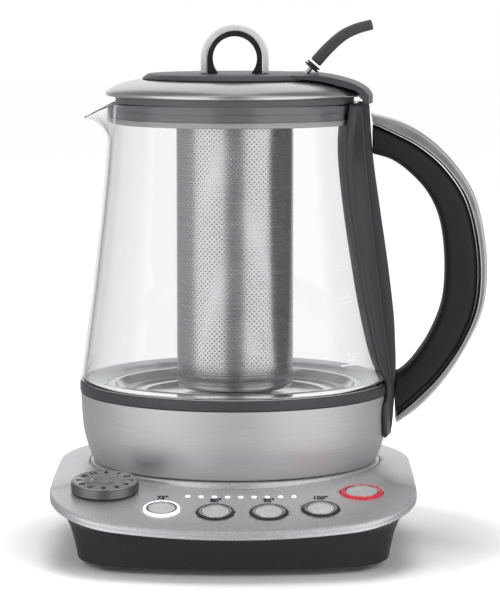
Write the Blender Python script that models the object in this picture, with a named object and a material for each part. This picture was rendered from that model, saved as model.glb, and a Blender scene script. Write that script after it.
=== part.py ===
"""Automatic tea maker: a control base and a lift-off glass kettle with a lidded filter.

Sizes are millimetres, measured from the kettle's axis and the table top, and
become metres when a mesh is made. X points right, Y away from the control
panel and Z up. Each sub-part has its own function, grouped by what carries it.
"""
import math

import bmesh
import bpy
from mathutils import Matrix, Vector

MM = 0.001

# Place of the kettle's axis, measured from the middle of the whole outline
KETTLE_X = -19.0
KETTLE_Y = 17.0

# Facets round a large ring, a hand-sized piece and a small one
LARGE_STEPS = 32
MIDDLE_STEPS = 20
SMALL_STEPS = 14
TINY_STEPS = 8

GAP = 0.3
SHEET = 1.2

# Base plan
BASE_RADIUS = 88.0
CORNER_RADIUS = 43.0
CORNER_X = 45.0
CORNER_Y = -73.5
BOW_RADIUS = 230.0
BOW_CENTRE_Y = 108.0

# Fascia plate: a level deck that falls away in a curve towards the front
DECK_Z = 38.0
FALL_START = 42.0
FALL_RATE = 0.00209
DISH_DEPTH = 0.6
WING_X = 105.0
WING_Y = -38.0
WING_RADIUS = 39.5
CREASE_WIDTH = 8.0
SKIRT_HEIGHT = 4.0
PLATE_ROUNDING = 1.5
SEAT_HOLE_RADIUS = 73.4

# Housing below the plate
HOUSING_WALL = 2.5
HOUSING_DROP = 1.7
FLOOR_Z = 3.0
# Share of the wall's height from the top, and how far the wall stands in there
HOUSING_TAPER = ((0.0, 1.9), (0.14, 2.6), (0.25, 6.4), (0.5, 9.9), (0.8, 12.2), (1.0, 13.1))
PLATE_INSET = 16.1
POST_INSET = 18.0
POST_RADIUS = 4.0
POST_POINTS = (4, 12, 21, 29)
FOOT_SPOTS = ((54.0, 32.0), (-54.0, 32.0), (-52.0, -76.0), (52.0, -76.0))
FOOT_RADIUS = 6.0
GLAND_Z = 15.0
GLAND_LEAN = 13.0

# Kettle seat and the connector in its middle
SEAT_RADIUS = 73.0
SEAT_TOP = 38.4
CONNECTOR_RADIUS = 12.0

# Controls, as (x, distance in front of the kettle axis)
BUTTON_SPOTS = ((-33.5, 98.5), (-8.1, 102.0), (17.05, 102.0), (41.5, 98.5))
BUTTON_RING_RADIUS = 8.75
BUTTON_CAP_RADIUS = 6.5
POWER_SPOT = (61.5, 77.0)
POWER_RING_RADIUS = 10.15
POWER_CAP_RADIUS = 7.65
CAP_GAP = 0.3
HOLE_GAP = 0.45
KNOB_SPOT = (-61.5, 75.0)
KNOB_RADIUS = 16.25
KNOB_HEIGHT = 5.4
KNOB_SHAFT = 2.9
SWITCH_DROP = 7.0
LIGHT_COUNT = 9
LIGHT_SPACING = 6.32
LIGHT_MIDDLE = (3.7, 83.8)
LIGHT_RADIUS = 1.1

# Steel cup: outer (height, radius) from its foot to its rim
CUP_FOOT_Z = 38.7
CUP_PROFILE = ((41.9, 72.4), (47.0, 74.3), (54.0, 76.1), (62.0, 77.0), (73.3, 77.5))
CUP_FOOT_RADIUS = 69.5
SENSOR_SPOT = (14.5, 2.0)
PLATE_EDGE = 56.9

# Glass jug
GLASS_BASE_Z = 79.2
GLASS_RIM_Z = 218.0
GLASS_RIM_RADIUS = 62.4
GLASS_FLARE = 15.2
GLASS_FLARE_HEIGHT = 138.5
GLASS_FLARE_POWER = 1.33
GLASS_WALL = 2.2
SPOUT_START_Z = 199.0
SPOUT_REACH = 13.9
SPOUT_DIP = 8.0
SPOUT_HALF_ANGLE = 17.0

# Handle bracket: (height, value) of its spine and of the angle it wraps to each side
BRACKET_SPINE = ((51.0, 77.4), (60.0, 79.1), (83.0, 80.6), (102.5, 80.1), (115.0, 79.2), (140.0, 76.1),
                 (167.5, 72.0), (192.0, 68.6), (217.8, 66.7))
BRACKET_WRAP = ((51.0, 14.0), (54.0, 20.0), (68.0, 25.0), (72.5, 17.0), (79.6, 17.0), (83.0, 26.5),
                (88.0, 29.5), (97.0, 32.0), (115.0, 33.4), (190.0, 33.4), (217.8, 27.0))
BRACKET_LEVELS = (51.0, 54.0, 61.0, 68.0, 72.5, 79.6, 83.0, 88.0, 97.0, 115.0, 140.0, 167.5, 190.0,
                  205.0, 217.8)
SPINE_HALF_WIDTH = 9.0

# Handle, from its upper root to its lower one: (x, z) of the trim's outer face,
# of the line between trim and grip, and of the grip's inner face
HANDLE_STATIONS = (
    (68.3, 212.2, 69.0, 206.9, 69.0, 192.2),
    (83.4, 207.9, 80.5, 201.6, 78.4, 189.2),
    (97.0, 200.0, 93.0, 194.7, 87.5, 182.6),
    (110.0, 187.0, 105.3, 183.8, 96.5, 172.5),
    (120.3, 169.5, 115.6, 167.5, 102.5, 159.0),
    (125.8, 142.9, 121.0, 142.9, 105.0, 140.0),
    (124.6, 118.5, 120.5, 118.5, 104.0, 119.5),
    (117.5, 99.8, 113.4, 99.0, 98.0, 103.0),
    (106.0, 81.0, 101.8, 81.9, 90.0, 90.5),
    (93.3, 66.6, 90.4, 70.4, 84.0, 84.3),
    (81.0, 57.5, 80.9, 62.2, 80.9, 82.7),
)
HANDLE_HALF_WIDTH = 11.0
TRIM_HALF_WIDTH = 11.5

# Lid
LID_LIP_RADIUS = 64.4
LID_LIP_Z = 221.1
DOME_EDGE_Z = 222.4
DOME_TOP_Z = 229.2
DOME_WALL = 1.5
COVER_RADIUS = 46.0
COVER_TOP = 232.0
COVER_UNDER = 229.5
# Tongue of the cover: (distance out, height) of its top and of its lower edge
TONGUE_TOP = ((43.0, 231.97), (50.6, 231.1), (57.4, 229.4), (62.2, 227.7), (67.0, 224.6), (68.7, 221.5))
TONGUE_UNDER = ((49.1, 227.7), (56.2, 226.5), (62.6, 224.6), (64.5, 223.0), (66.2, 218.1))
TONGUE_REACH = 68.7
TONGUE_CLEARANCE = 1.0
TONGUE_ROOT = 34.6
TONGUE_END = 30.0
TONGUE_BOW = 284.0
LOOP_CENTRE_Z = 239.5
LOOP_RADIUS = 16.8
LOOP_BAND = 3.0
LOOP_HOLE_RADIUS = 11.0
LOOP_DEPTH = 13.0

# Lever: its pin, the slope of its rod, and the crank that carries the filter
LEVER_PIN = (30.2, 225.5)
ROD_SLOPE = 50.0
ROD_RADIUS = 1.1
COLLAR_REACH = 13.2
CRANK_LENGTH = 15.0
CRANK_REST = -58.0
CRANK_PIN_RADIUS = 1.1
LEVER_LIFT = 40.0
GRIP_LINE = ((40.1, 237.5), (46.5, 244.6), (53.5, 250.7), (60.5, 254.2), (68.3, 256.3))

# Filter
FILTER_RADIUS = 29.25
FILTER_WALL = 0.8
FILTER_BOTTOM = 75.0
FILTER_BAND_TOP = 83.6
FILTER_FLANGE_Z = 209.7

# Finishes: sRGB colour, roughness, metallic, transmission
FINISHES = {
    "brushed_steel": ("B9BABC", 0.34, 1.0, 0.0),
    "dark_steel": ("4A4A4C", 0.36, 1.0, 0.0),
    "bright_steel": ("D2D3D5", 0.18, 1.0, 0.0),
    "dark_plastic": ("2D2D2F", 0.45, 0.0, 0.0),
    "grey_plastic": ("757578", 0.5, 0.0, 0.0),
    "black_grip": ("242426", 0.5, 0.0, 0.0),
    "white_light": ("F4F4F4", 0.3, 0.0, 0.0),
    "red_light": ("C8202A", 0.35, 0.0, 0.0),
    "rubber": ("202022", 0.8, 0.0, 0.0),
    "seal_rubber": ("B4B4B6", 0.6, 0.0, 0.0),
    "circuit_board": ("2F5A3C", 0.6, 0.0, 0.0),
    "clear_glass": ("F2F6F6", 0.03, 0.0, 1.0),
}


# Small sums

def blend_table(table, at):
    """Straight-line value at a place in a table of (place, value) in rising order."""
    if at <= table[0][0]:
        return table[0][1]
    for (low, low_value), (high, high_value) in zip(table, table[1:]):
        if at <= high:
            return low_value + (high_value - low_value) * (at - low) / (high - low)
    return table[-1][1]


def smooth_step(value):
    """0 below 0, 1 above 1, and an S-curve between."""
    value = min(1.0, max(0.0, value))
    return value * value * (3.0 - 2.0 * value)


def curve_through(points, spans):
    """Points of a Catmull-Rom curve through the given ones, with so many steps in each span."""
    ends = [points[0]] + list(points) + [points[-1]]
    result = []
    for before, start, stop, after in zip(ends, ends[1:], ends[2:], ends[3:]):
        for step in range(spans):
            t = step / spans
            result.append(tuple(
                0.5 * (2 * b + (c - a) * t + (2 * a - 5 * b + 4 * c - d) * t ** 2
                       + (3 * b - a - 3 * c + d) * t ** 3)
                for a, b, c, d in zip(before, start, stop, after)))
    result.append(tuple(points[-1]))
    return result


def arc(centre, radius, start, stop, steps):
    """Points on an arc in the plane, from one angle to another in degrees."""
    angles = [math.radians(start + (stop - start) * i / steps) for i in range(steps + 1)]
    return [(centre[0] + radius * math.cos(a), centre[1] + radius * math.sin(a)) for a in angles]


# Meshes and objects

def colour(hex_code):
    """Linear colour of an sRGB hex code."""
    channels = [int(hex_code[i:i + 2], 16) / 255 for i in (0, 2, 4)]
    return [c / 12.92 if c <= 0.04045 else ((c + 0.055) / 1.055) ** 2.4 for c in channels] + [1.0]


def make_material(name, finish):
    """Principled material of one sub-part."""
    hex_code, roughness, metallic, transmission = FINISHES[finish]
    material = bpy.data.materials.new(name)
    material.use_nodes = True
    shader = material.node_tree.nodes["Principled BSDF"]
    shader.inputs["Base Color"].default_value = colour(hex_code)
    shader.inputs["Roughness"].default_value = roughness
    shader.inputs["Metallic"].default_value = metallic
    shader.inputs["Transmission Weight"].default_value = transmission
    material.diffuse_color = colour(hex_code)
    return material


def make_empty(name, place, parent=None):
    """Empty that carries the pieces of one axis."""
    empty = bpy.data.objects.new(name, None)
    empty.location = Vector(place) * MM
    empty.parent = parent
    empty.empty_display_size = 10 * MM
    bpy.context.scene.collection.objects.link(empty)
    return empty


def make_object(name, bm, finish, parent, place=(0, 0, 0), turn=(0, 0, 0)):
    """Object of a mesh drawn in millimetres, smooth but for its sharp edges."""
    bmesh.ops.remove_doubles(bm, verts=bm.verts, dist=0.001)
    bmesh.ops.recalc_face_normals(bm, faces=bm.faces)
    bmesh.ops.scale(bm, vec=(MM, MM, MM), verts=bm.verts)
    mesh = bpy.data.meshes.new(name)
    bm.to_mesh(mesh)
    bm.free()
    mesh.shade_smooth()
    mesh.set_sharp_from_angle(angle=math.radians(35))
    mesh.materials.append(make_material(name, finish))
    obj = bpy.data.objects.new(name, mesh)
    obj.location = Vector(place) * MM
    obj.rotation_euler = turn
    obj.parent = parent
    bpy.context.scene.collection.objects.link(obj)
    return obj


def combine(obj, name, bm, operation="DIFFERENCE"):
    """Cut a tool drawn in millimetres out of an object, or join it on."""
    tool = make_object(name, bm, "dark_plastic", obj.parent, turn=obj.rotation_euler)
    tool.location = obj.location
    tool.display_type = "WIRE"
    tool.hide_render = True
    modifier = obj.modifiers.new(name, "BOOLEAN")
    modifier.operation = operation
    modifier.solver = "EXACT"
    modifier.object = tool


def revolve(outline, steps):
    """Turn an outline of (radius, height) about Z; one that ends on the axis is closed by it."""
    bm = bmesh.new()
    verts = [bm.verts.new((radius, 0, z)) for radius, z in outline]
    pairs = list(zip(verts, verts[1:]))
    if outline[0][0] > 0 or outline[-1][0] > 0:
        pairs.append((verts[-1], verts[0]))
    edges = [bm.edges.new(pair) for pair in pairs]
    bmesh.ops.spin(bm, geom=verts + edges, cent=(0, 0, 0), axis=(0, 0, 1),
                   angle=math.tau, steps=steps, use_merge=True)
    return bm


def loft(rings, joined=False):
    """Skin over rings of equally many points, capped at its ends or joined end to end."""
    bm = bmesh.new()
    loops = [[bm.verts.new(point) for point in ring] for ring in rings]
    pairs = list(zip(loops, loops[1:]))
    if joined:
        pairs.append((loops[-1], loops[0]))
    else:
        bm.faces.new(loops[0][::-1])
        bm.faces.new(loops[-1])
    for low, high in pairs:
        for i, corner in enumerate(low):
            after = (i + 1) % len(low)
            bm.faces.new((corner, low[after], high[after], high[i]))
    return bm


def prism(outline, start, stop):
    """Solid between two heights over an outline of (x, y)."""
    return loft([[(x, y, z) for x, y in outline] for z in (start, stop)])


def upright_prism(outline, front, back):
    """Solid between two depths over an outline of (x, z)."""
    return loft([[(x, y, z) for x, z in outline] for y in (front, back)])


def add_rod(bm, radius, start, stop, steps=SMALL_STEPS):
    """Straight round bar from one point to another."""
    start, stop = Vector(start), Vector(stop)
    along = stop - start
    place = Matrix.Translation((start + stop) / 2) @ along.to_track_quat("Z", "Y").to_matrix().to_4x4()
    bmesh.ops.create_cone(bm, cap_ends=True, cap_tris=False, segments=steps, radius1=radius,
                          radius2=radius, depth=along.length, matrix=place)
    return bm


def rod(radius, start, stop, steps=SMALL_STEPS):
    """Mesh of one straight round bar."""
    return add_rod(bmesh.new(), radius, start, stop, steps)


def boxes(*extents):
    """Mesh of boxes, each given by its lowest and its highest corner."""
    bm = bmesh.new()
    for low, high in extents:
        low, high = Vector(low), Vector(high)
        size = high - low
        place = Matrix.Translation((low + high) / 2) @ Matrix.Diagonal((*size, 1))
        bmesh.ops.create_cube(bm, size=1.0, matrix=place)
    return bm


def sheet(outline, x_lines, y_lines):
    """Flat sheet over an outline, divided along the given lines for bending."""
    bm = bmesh.new()
    bm.faces.new([bm.verts.new((x, y, 0)) for x, y in outline])
    for y in y_lines:
        bmesh.ops.bisect_plane(bm, geom=bm.verts[:] + bm.edges[:] + bm.faces[:], dist=0.0001,
                               plane_co=(0, y, 0), plane_no=(0, 1, 0))
    divided = max(y_lines)
    for x in x_lines:
        faces = [f for f in bm.faces if f.calc_center_median().y < divided]
        edges = list({edge for face in faces for edge in face.edges})
        verts = list({vert for face in faces for vert in face.verts})
        bmesh.ops.bisect_plane(bm, geom=verts + edges + faces, dist=0.0001,
                               plane_co=(x, 0, 0), plane_no=(1, 0, 0))
    return bm


# Shapes that several pieces share

def base_outline(inset):
    """Plan of the base, drawn in from its edge; every inset gives as many points."""
    corner = CORNER_RADIUS - inset
    tangent = math.degrees(math.atan2(CORNER_X, BOW_CENTRE_Y - CORNER_Y))
    back = arc((0, 0), BASE_RADIUS - inset, 0, 180, 16)
    left = arc((-CORNER_X, CORNER_Y), corner, 180, 270 - tangent, 6)
    front = arc((0, BOW_CENTRE_Y), BOW_RADIUS - inset, 270 - tangent, 270 + tangent, 4)
    right = arc((CORNER_X, CORNER_Y), corner, 270 + tangent, 360, 6)
    return back + left + front[1:-1] + right


def plate_height(x, y):
    """Top of the fascia plate."""
    fall = FALL_RATE * max(0.0, -y - FALL_START) ** 2
    from_wing = math.hypot(abs(x) - WING_X, y - WING_Y) - WING_RADIUS
    dish = smooth_step(from_wing / CREASE_WIDTH + 0.5) * smooth_step((-y - 33.0) / 10.0)
    return DECK_Z - fall - DISH_DEPTH * dish


def panel_turn(ahead):
    """Rotation that stands a piece square to the plate."""
    return (math.atan(2 * FALL_RATE * max(0.0, ahead - FALL_START)), 0, 0)


def panel_place(x, ahead):
    """Point of the plate's top at a spot of the control panel."""
    return (x, -ahead, plate_height(x, -ahead))


def glass_radius(z):
    """Outer radius of the jug."""
    share = max(0.0, GLASS_RIM_Z - z) / GLASS_FLARE_HEIGHT
    return GLASS_RIM_RADIUS + GLASS_FLARE * share ** GLASS_FLARE_POWER


def dome_height(radius):
    """Top of the lid's dome."""
    if radius <= COVER_RADIUS:
        return DOME_TOP_Z
    share = min(1.0, (radius - COVER_RADIUS) / (LID_LIP_RADIUS - COVER_RADIUS))
    return DOME_EDGE_Z + (DOME_TOP_Z - DOME_EDGE_Z) * (1 - share ** 1.6) ** 0.65


def crank_end(lift):
    """Place (x, z) of the crank's pin when the lever is raised by so many degrees."""
    angle = math.radians(CRANK_REST + lift)
    return (LEVER_PIN[0] + CRANK_LENGTH * math.cos(angle),
            LEVER_PIN[1] + CRANK_LENGTH * math.sin(angle))


# Base

def make_housing(parent):
    """Dark moulded wall of the base, open above and below, with four screw posts."""
    outer = [housing_ring(share, 0.0) for share, _ in HOUSING_TAPER]
    inner = [housing_ring(share, HOUSING_WALL) for share in (1.0, 0.5, 0.25, 0.0)]
    housing = make_object("base_housing", loft(outer + inner, joined=True), "dark_plastic", parent)
    posts = bmesh.new()
    holes = bmesh.new()
    for x, y in post_spots():
        add_rod(posts, POST_RADIUS, (x, y, 5.4), (x, y, 12.6))
        add_rod(holes, 1.8, (x, y, 5.0), (x, y, 11.5), TINY_STEPS)
    add_rod(holes, 5.3, (0, 60.0, GLAND_Z), (0, 95.0, GLAND_Z))
    combine(housing, "screw_posts", posts, "UNION")
    combine(housing, "screw_holes", holes)


def housing_ring(share, depth):
    """Ring of the wall at a share of its height from the top, so deep in from its face."""
    tops = [plate_height(x, y) - HOUSING_DROP for x, y in base_outline(0)]
    edge = base_outline(blend_table(HOUSING_TAPER, share) + depth)
    return [(x, y, top + (FLOOR_Z - top) * share) for (x, y), top in zip(edge, tops)]


def post_spots():
    """Places of the four screw posts, against the wall."""
    edge = base_outline(POST_INSET)
    return [edge[i] for i in POST_POINTS]


def make_bottom_plate(parent):
    """Flat cover that closes the base from below."""
    plate = make_object("base_bottom_plate", prism(base_outline(PLATE_INSET), FLOOR_Z, FLOOR_Z + 2.0),
                        "dark_plastic", parent)
    holes = bmesh.new()
    for x, y in post_spots():
        add_rod(holes, 1.8, (x, y, 0), (x, y, 8.0), TINY_STEPS)
    for x, y in FOOT_SPOTS:
        add_rod(holes, 2.8, (x, y, 0), (x, y, 8.0), TINY_STEPS)
    combine(plate, "plate_holes", holes)


def make_fascia(parent):
    """Bent steel plate with a rounded skirt, a dished panel and holes for the controls."""
    flat = base_outline(PLATE_ROUNDING)
    bm = sheet(flat, range(-80, 81, 16), range(-113, -32, 10))
    rim = [edge for edge in bm.edges if edge.is_boundary]
    for inset, drop in ((0.0, PLATE_ROUNDING), (0.0, SKIRT_HEIGHT)):
        result = bmesh.ops.extrude_edge_only(bm, edges=rim)
        verts = [item for item in result["geom"] if isinstance(item, bmesh.types.BMVert)]
        rim = [item for item in result["geom"] if isinstance(item, bmesh.types.BMEdge)]
        for vert in verts:
            move_to_outline(vert, inset)
            vert.co.z = -drop
    for vert in bm.verts:
        vert.co.z += plate_height(vert.co.x, vert.co.y)
    plate = make_object("fascia_plate", bm, "brushed_steel", parent)
    solid = plate.modifiers.new("sheet_steel", "SOLIDIFY")
    solid.thickness = SHEET * MM
    solid.offset = -1.0
    holes = rod(SEAT_HOLE_RADIUS, (0, 0, 20.0), (0, 0, 60.0), LARGE_STEPS)
    for x, ahead in BUTTON_SPOTS:
        add_panel_hole(holes, x, ahead, BUTTON_RING_RADIUS + HOLE_GAP)
    add_panel_hole(holes, *POWER_SPOT, POWER_RING_RADIUS + HOLE_GAP)
    add_panel_hole(holes, *KNOB_SPOT, 4.0)
    for x, ahead in light_spots():
        add_panel_hole(holes, x, ahead, LIGHT_RADIUS + HOLE_GAP, TINY_STEPS)
    combine(plate, "plate_openings", holes)


def move_to_outline(vert, inset):
    """Slide an edge point of the plate straight out to the outline at another inset."""
    x, y = vert.co.x, vert.co.y
    if y >= 0:
        centre, radius = Vector((0, 0)), BASE_RADIUS
    elif y > CORNER_Y:
        centre, radius = Vector((0, y)), BASE_RADIUS
    elif abs(x) > bow_limit(y):
        centre, radius = Vector((math.copysign(CORNER_X, x), CORNER_Y)), CORNER_RADIUS
    else:
        centre, radius = Vector((0, BOW_CENTRE_Y)), BOW_RADIUS
    out = (Vector((x, y)) - centre).normalized()
    vert.co.x, vert.co.y = centre + out * (radius - inset)


def bow_limit(y):
    """Half-width within which the front edge belongs to the wide bow."""
    return CORNER_X * (BOW_CENTRE_Y - y) / (BOW_CENTRE_Y - CORNER_Y)


def add_panel_hole(bm, x, ahead, radius, steps=SMALL_STEPS):
    """Round cutter square to the plate at a spot of the panel."""
    centre = Vector(panel_place(x, ahead))
    normal = Vector((0, -math.sin(panel_turn(ahead)[0]), math.cos(panel_turn(ahead)[0])))
    add_rod(bm, radius, centre - normal * 6.0, centre + normal * 6.0, steps)


def light_spots():
    """Places of the row of indicator lights, bowed with the front edge."""
    first = LIGHT_MIDDLE[0] - LIGHT_SPACING * (LIGHT_COUNT - 1) / 2
    spots = []
    for i in range(LIGHT_COUNT):
        x = first + LIGHT_SPACING * i
        share = (x - LIGHT_MIDDLE[0]) / (first - LIGHT_MIDDLE[0])
        spots.append((x, LIGHT_MIDDLE[1] + 0.4 - 1.0 * share ** 2))
    return spots


def make_seat(parent):
    """Raised steel disc that the kettle stands on, with a hole for the connector."""
    hole = CONNECTOR_RADIUS + 0.8
    under = SEAT_TOP - SHEET
    outline = ((hole, SEAT_TOP), (SEAT_RADIUS - 0.8, SEAT_TOP), (SEAT_RADIUS, SEAT_TOP - 0.8),
               (SEAT_RADIUS, 30.0), (SEAT_RADIUS - SHEET, 30.0), (SEAT_RADIUS - SHEET, under),
               (hole, under))
    make_object("kettle_seat", revolve(outline, LARGE_STEPS), "brushed_steel", parent)


def make_connector(parent):
    """Central plug that lets the kettle be set down at any angle."""
    under = SEAT_TOP - SHEET - GAP
    outline = ((0, 29.0), (18.0, 29.0), (18.0, under), (CONNECTOR_RADIUS, under),
               (CONNECTOR_RADIUS, 47.0), (CONNECTOR_RADIUS - 1.5, 48.5), (7.5, 48.5), (7.5, 41.0),
               (4.5, 41.0), (4.5, 50.0), (3.5, 51.0), (0, 51.0))
    make_object("base_connector", revolve(outline, MIDDLE_STEPS), "dark_plastic", parent)


def make_boards(parent):
    """Circuit boards: one with the switches under the controls, one for the mains supply."""
    outline = ((-44, -100), (-36, -104), (40, -104), (50, -100), (70, -82), (70, -66), (-44, -66))
    board = make_object("control_board", prism(outline, 13.0, 14.6), "circuit_board", parent)
    blocks = []
    for x, ahead in (*BUTTON_SPOTS, POWER_SPOT):
        top = plate_height(x, -ahead) - SWITCH_DROP
        blocks.append(((x - 3, -ahead - 3, 13.5), (x + 3, -ahead + 3, top)))
    combine(board, "switch_blocks", boxes(*blocks), "UNION")
    power = boxes(((-32, 28, 9.0), (32, 62, 10.6)))
    board = make_object("power_board", power, "circuit_board", parent)
    relays = boxes(((-24, 34, 10.0), (-8, 54, 24.0)), ((2, 34, 10.0), (24, 48, 20.0)))
    combine(board, "relays", relays, "UNION")


def make_encoder(parent):
    """Turning sensor that the timer knob is pushed onto."""
    outline = ((0, -10.0), (7.5, -10.0), (7.5, -1.8), (3.6, -1.8), (3.6, 0.9), (KNOB_SHAFT, 0.9),
               (KNOB_SHAFT, 3.6), (0, 3.6))
    make_object("timer_encoder", revolve(outline, SMALL_STEPS), "grey_plastic", parent,
                panel_place(*KNOB_SPOT), panel_turn(KNOB_SPOT[1]))


def make_lights(parent):
    """Row of light pips on one bar behind the plate."""
    x, ahead = LIGHT_MIDDLE
    bar = boxes(((-29.0, -3.0, -4.0), (29.0, 3.0, -1.9)))
    lights = make_object("led_light_bar", bar, "white_light", parent,
                         panel_place(x, ahead), panel_turn(ahead))
    pips = bmesh.new()
    for pip_x, pip_ahead in light_spots():
        place = (pip_x - x, ahead - pip_ahead)
        add_rod(pips, LIGHT_RADIUS, (*place, -2.5), (*place, 0.3), TINY_STEPS)
    combine(lights, "light_pips", pips, "UNION")


def make_button(parent, name, spot, ring_radius, cap_radius, ring_finish, cap_finish):
    """Button: a fixed ring in the plate and a dished cap that slides inside it."""
    place, turn = panel_place(*spot), panel_turn(spot[1])
    inner = cap_radius + CAP_GAP
    ring = ((inner, -4.0), (ring_radius, -4.0), (ring_radius, 0.3), (ring_radius - 0.5, 0.7),
            (inner, 0.5))
    make_object(name + "_ring", revolve(ring, SMALL_STEPS), ring_finish, parent, place, turn)
    cap = ((0, -4.5), (cap_radius, -4.5), (cap_radius, 0.2), (cap_radius - 0.6, 0.6), (2.0, 0.1), (0, 0.1))
    make_object(name + "_cap", revolve(cap, SMALL_STEPS), cap_finish, parent, place, turn)


def make_knob(parent):
    """Timer knob with a grooved grip and a raised middle."""
    reach = KNOB_RADIUS
    outline = ((0, 4.0), (KNOB_SHAFT + GAP, 4.0), (KNOB_SHAFT + GAP, 1.5), (6.0, 1.5), (6.0, 0.5),
               (reach, 0.5), (reach, 4.6), (reach - 0.8, KNOB_HEIGHT), (6.5, KNOB_HEIGHT),
               (5.6, KNOB_HEIGHT + 0.5), (0, KNOB_HEIGHT + 0.5))
    make_object("timer_knob", revolve(outline, MIDDLE_STEPS), "brushed_steel", parent,
                panel_place(*KNOB_SPOT), panel_turn(KNOB_SPOT[1]))


def make_gland(parent):
    """Rubber bush in the rear wall, where the supply enters."""
    outline = ((3.0, -3.3), (7.0, -3.3), (7.0, -2.2), (5.0, -2.2), (5.0, 1.9), (7.0, 1.9),
               (6.5, 4.0), (3.0, 4.0))
    inset = blend_table(HOUSING_TAPER, (DECK_Z - HOUSING_DROP - GLAND_Z) / (DECK_Z - FLOOR_Z))
    middle = BASE_RADIUS - inset - HOUSING_WALL / 2
    make_object("cord_gland", revolve(outline, SMALL_STEPS), "rubber", parent,
                (0, middle, GLAND_Z), (math.radians(-90 - GLAND_LEAN), 0, 0))


def make_feet(parent):
    """Rubber feet pushed into the bottom plate, and the screws that hold it."""
    foot = ((0, 0), (FOOT_RADIUS - 0.6, 0), (FOOT_RADIUS, 0.6), (FOOT_RADIUS, 2.7), (2.3, 2.7),
            (2.3, 7.0), (0, 7.0))
    for number, (x, y) in enumerate(FOOT_SPOTS, 1):
        make_object(f"foot_{number}", revolve(foot, SMALL_STEPS), "rubber", parent, (x, y, 0))
    screw = ((0, 1.3), (2.6, 1.3), (2.9, 1.8), (2.9, 2.7), (1.4, 2.7), (1.4, 10.4), (0, 11.0))
    for number, (x, y) in enumerate(post_spots(), 1):
        make_object(f"base_screw_{number}", revolve(screw, TINY_STEPS), "bright_steel", parent, (x, y, 0))


# Kettle

def make_foot_disc(parent):
    """Bottom cover of the kettle and the socket that drops over the connector."""
    cover = ((22.0, CUP_FOOT_Z), (64.6, CUP_FOOT_Z), (65.7, CUP_FOOT_Z + 0.8), (65.7, 43.0), (64.5, 43.0),
             (64.5, CUP_FOOT_Z + SHEET), (22.0, CUP_FOOT_Z + SHEET))
    make_object("kettle_bottom_cover", revolve(cover, LARGE_STEPS), "dark_plastic", parent)
    hole = CONNECTOR_RADIUS + 0.5
    socket = ((0, 52.0), (hole, 52.0), (hole, CUP_FOOT_Z + 0.3), (21.6, CUP_FOOT_Z + 0.3), (21.6, 41.0),
              (17.0, 41.0), (17.0, 56.0), (0, 56.0))
    make_object("kettle_socket", revolve(socket, MIDDLE_STEPS), "dark_plastic", parent)


def make_cup(parent):
    """Steel cup that carries the jug and hides the heater."""
    outer = [(66.4, CUP_FOOT_Z), (CUP_FOOT_RADIUS, CUP_FOOT_Z), (71.3, 39.6)]
    outer += [(radius, z) for z, radius in CUP_PROFILE]
    inner = [(66.4, CUP_FOOT_Z + SHEET), (CUP_FOOT_RADIUS - 0.4, CUP_FOOT_Z + SHEET)]
    inner += [(radius - SHEET, z) for z, radius in CUP_PROFILE[::2]]
    make_object("steel_cup", revolve(outer + inner[::-1], LARGE_STEPS), "brushed_steel", parent)


def make_band(parent):
    """Dark clamp band between cup and jug, and the seal inside it."""
    band = ((71.0, 73.6), (77.4, 73.6), (77.9, 74.1), (77.9, 78.1), (77.4, 78.6), (76.6, 78.6),
            (76.6, 74.8), (71.0, 74.8))
    make_object("band_ring", revolve(band, LARGE_STEPS), "dark_steel", parent)
    seal = ((73.4, 75.1), (76.3, 75.1), (76.3, 78.9), (74.7, 78.9), (73.4, 78.1))
    make_object("plate_seal", revolve(seal, LARGE_STEPS), "seal_rubber", parent)


def make_heater(parent):
    """Heating plate in its pressed surround, with the ring element, sensor and thermostat."""
    disc = ((0, 71.5), (PLATE_EDGE - GAP, 71.5), (PLATE_EDGE - GAP, 72.5), (0, 72.5))
    plate = make_object("heating_plate", revolve(disc, LARGE_STEPS), "bright_steel", parent)
    surround = ((74.6, 80.2), (65.8, 75.2), (63.8, 77.0), (60.4, 77.0), (57.5, 72.5), (PLATE_EDGE, 72.5),
                (PLATE_EDGE, 71.5), (57.7, 71.5), (60.6, 76.0), (63.3, 76.0), (65.8, 74.0), (74.6, 79.2))
    make_object("plate_surround", revolve(surround, LARGE_STEPS), "bright_steel", parent)
    combine(plate, "sensor_hole", rod(2.9, (*SENSOR_SPOT, 60), (*SENSOR_SPOT, 80), TINY_STEPS))
    section = arc((50.0, 67.5), 3.5, 0, 300, 5)
    make_object("heating_element", revolve(section, LARGE_STEPS), "dark_steel", parent)
    sensor = ((0, 63.0), (2.5, 63.0), (2.5, 72.8), (4.5, 72.8), (4.2, 73.8), (2.4, 74.5), (0, 74.6))
    make_object("temperature_sensor", revolve(sensor, TINY_STEPS), "bright_steel", parent, (*SENSOR_SPOT, 0))
    block = boxes(((-12.0, -9.0, 60.0), (8.0, 9.0, 71.2)))
    make_object("thermostat", block, "dark_plastic", parent)


def glass_ring(z, depth, lowered=0.0):
    """Ring of the jug at a height, so deep in from its outer face, drawn out at the spout."""
    step = 360 / LARGE_STEPS
    angles = [i * step for i in range(LARGE_STEPS)] + [180 + i * step / 2 for i in (-3, -1, 1, 3)]
    ring = []
    for angle in sorted(angles):
        off = abs(angle - 180) / SPOUT_HALF_ANGLE
        share = math.cos(math.pi / 2 * off) ** 2 if off < 1 else 0.0
        rise = max(0.0, (z - SPOUT_START_Z) / (GLASS_RIM_Z - SPOUT_START_Z))
        radius = glass_radius(z) - depth + SPOUT_REACH * rise ** 1.6 * share
        turn = math.radians(angle)
        ring.append((radius * math.cos(turn), radius * math.sin(turn),
                     z + lowered - SPOUT_DIP * rise ** 2.15 * share))
    return ring


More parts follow.
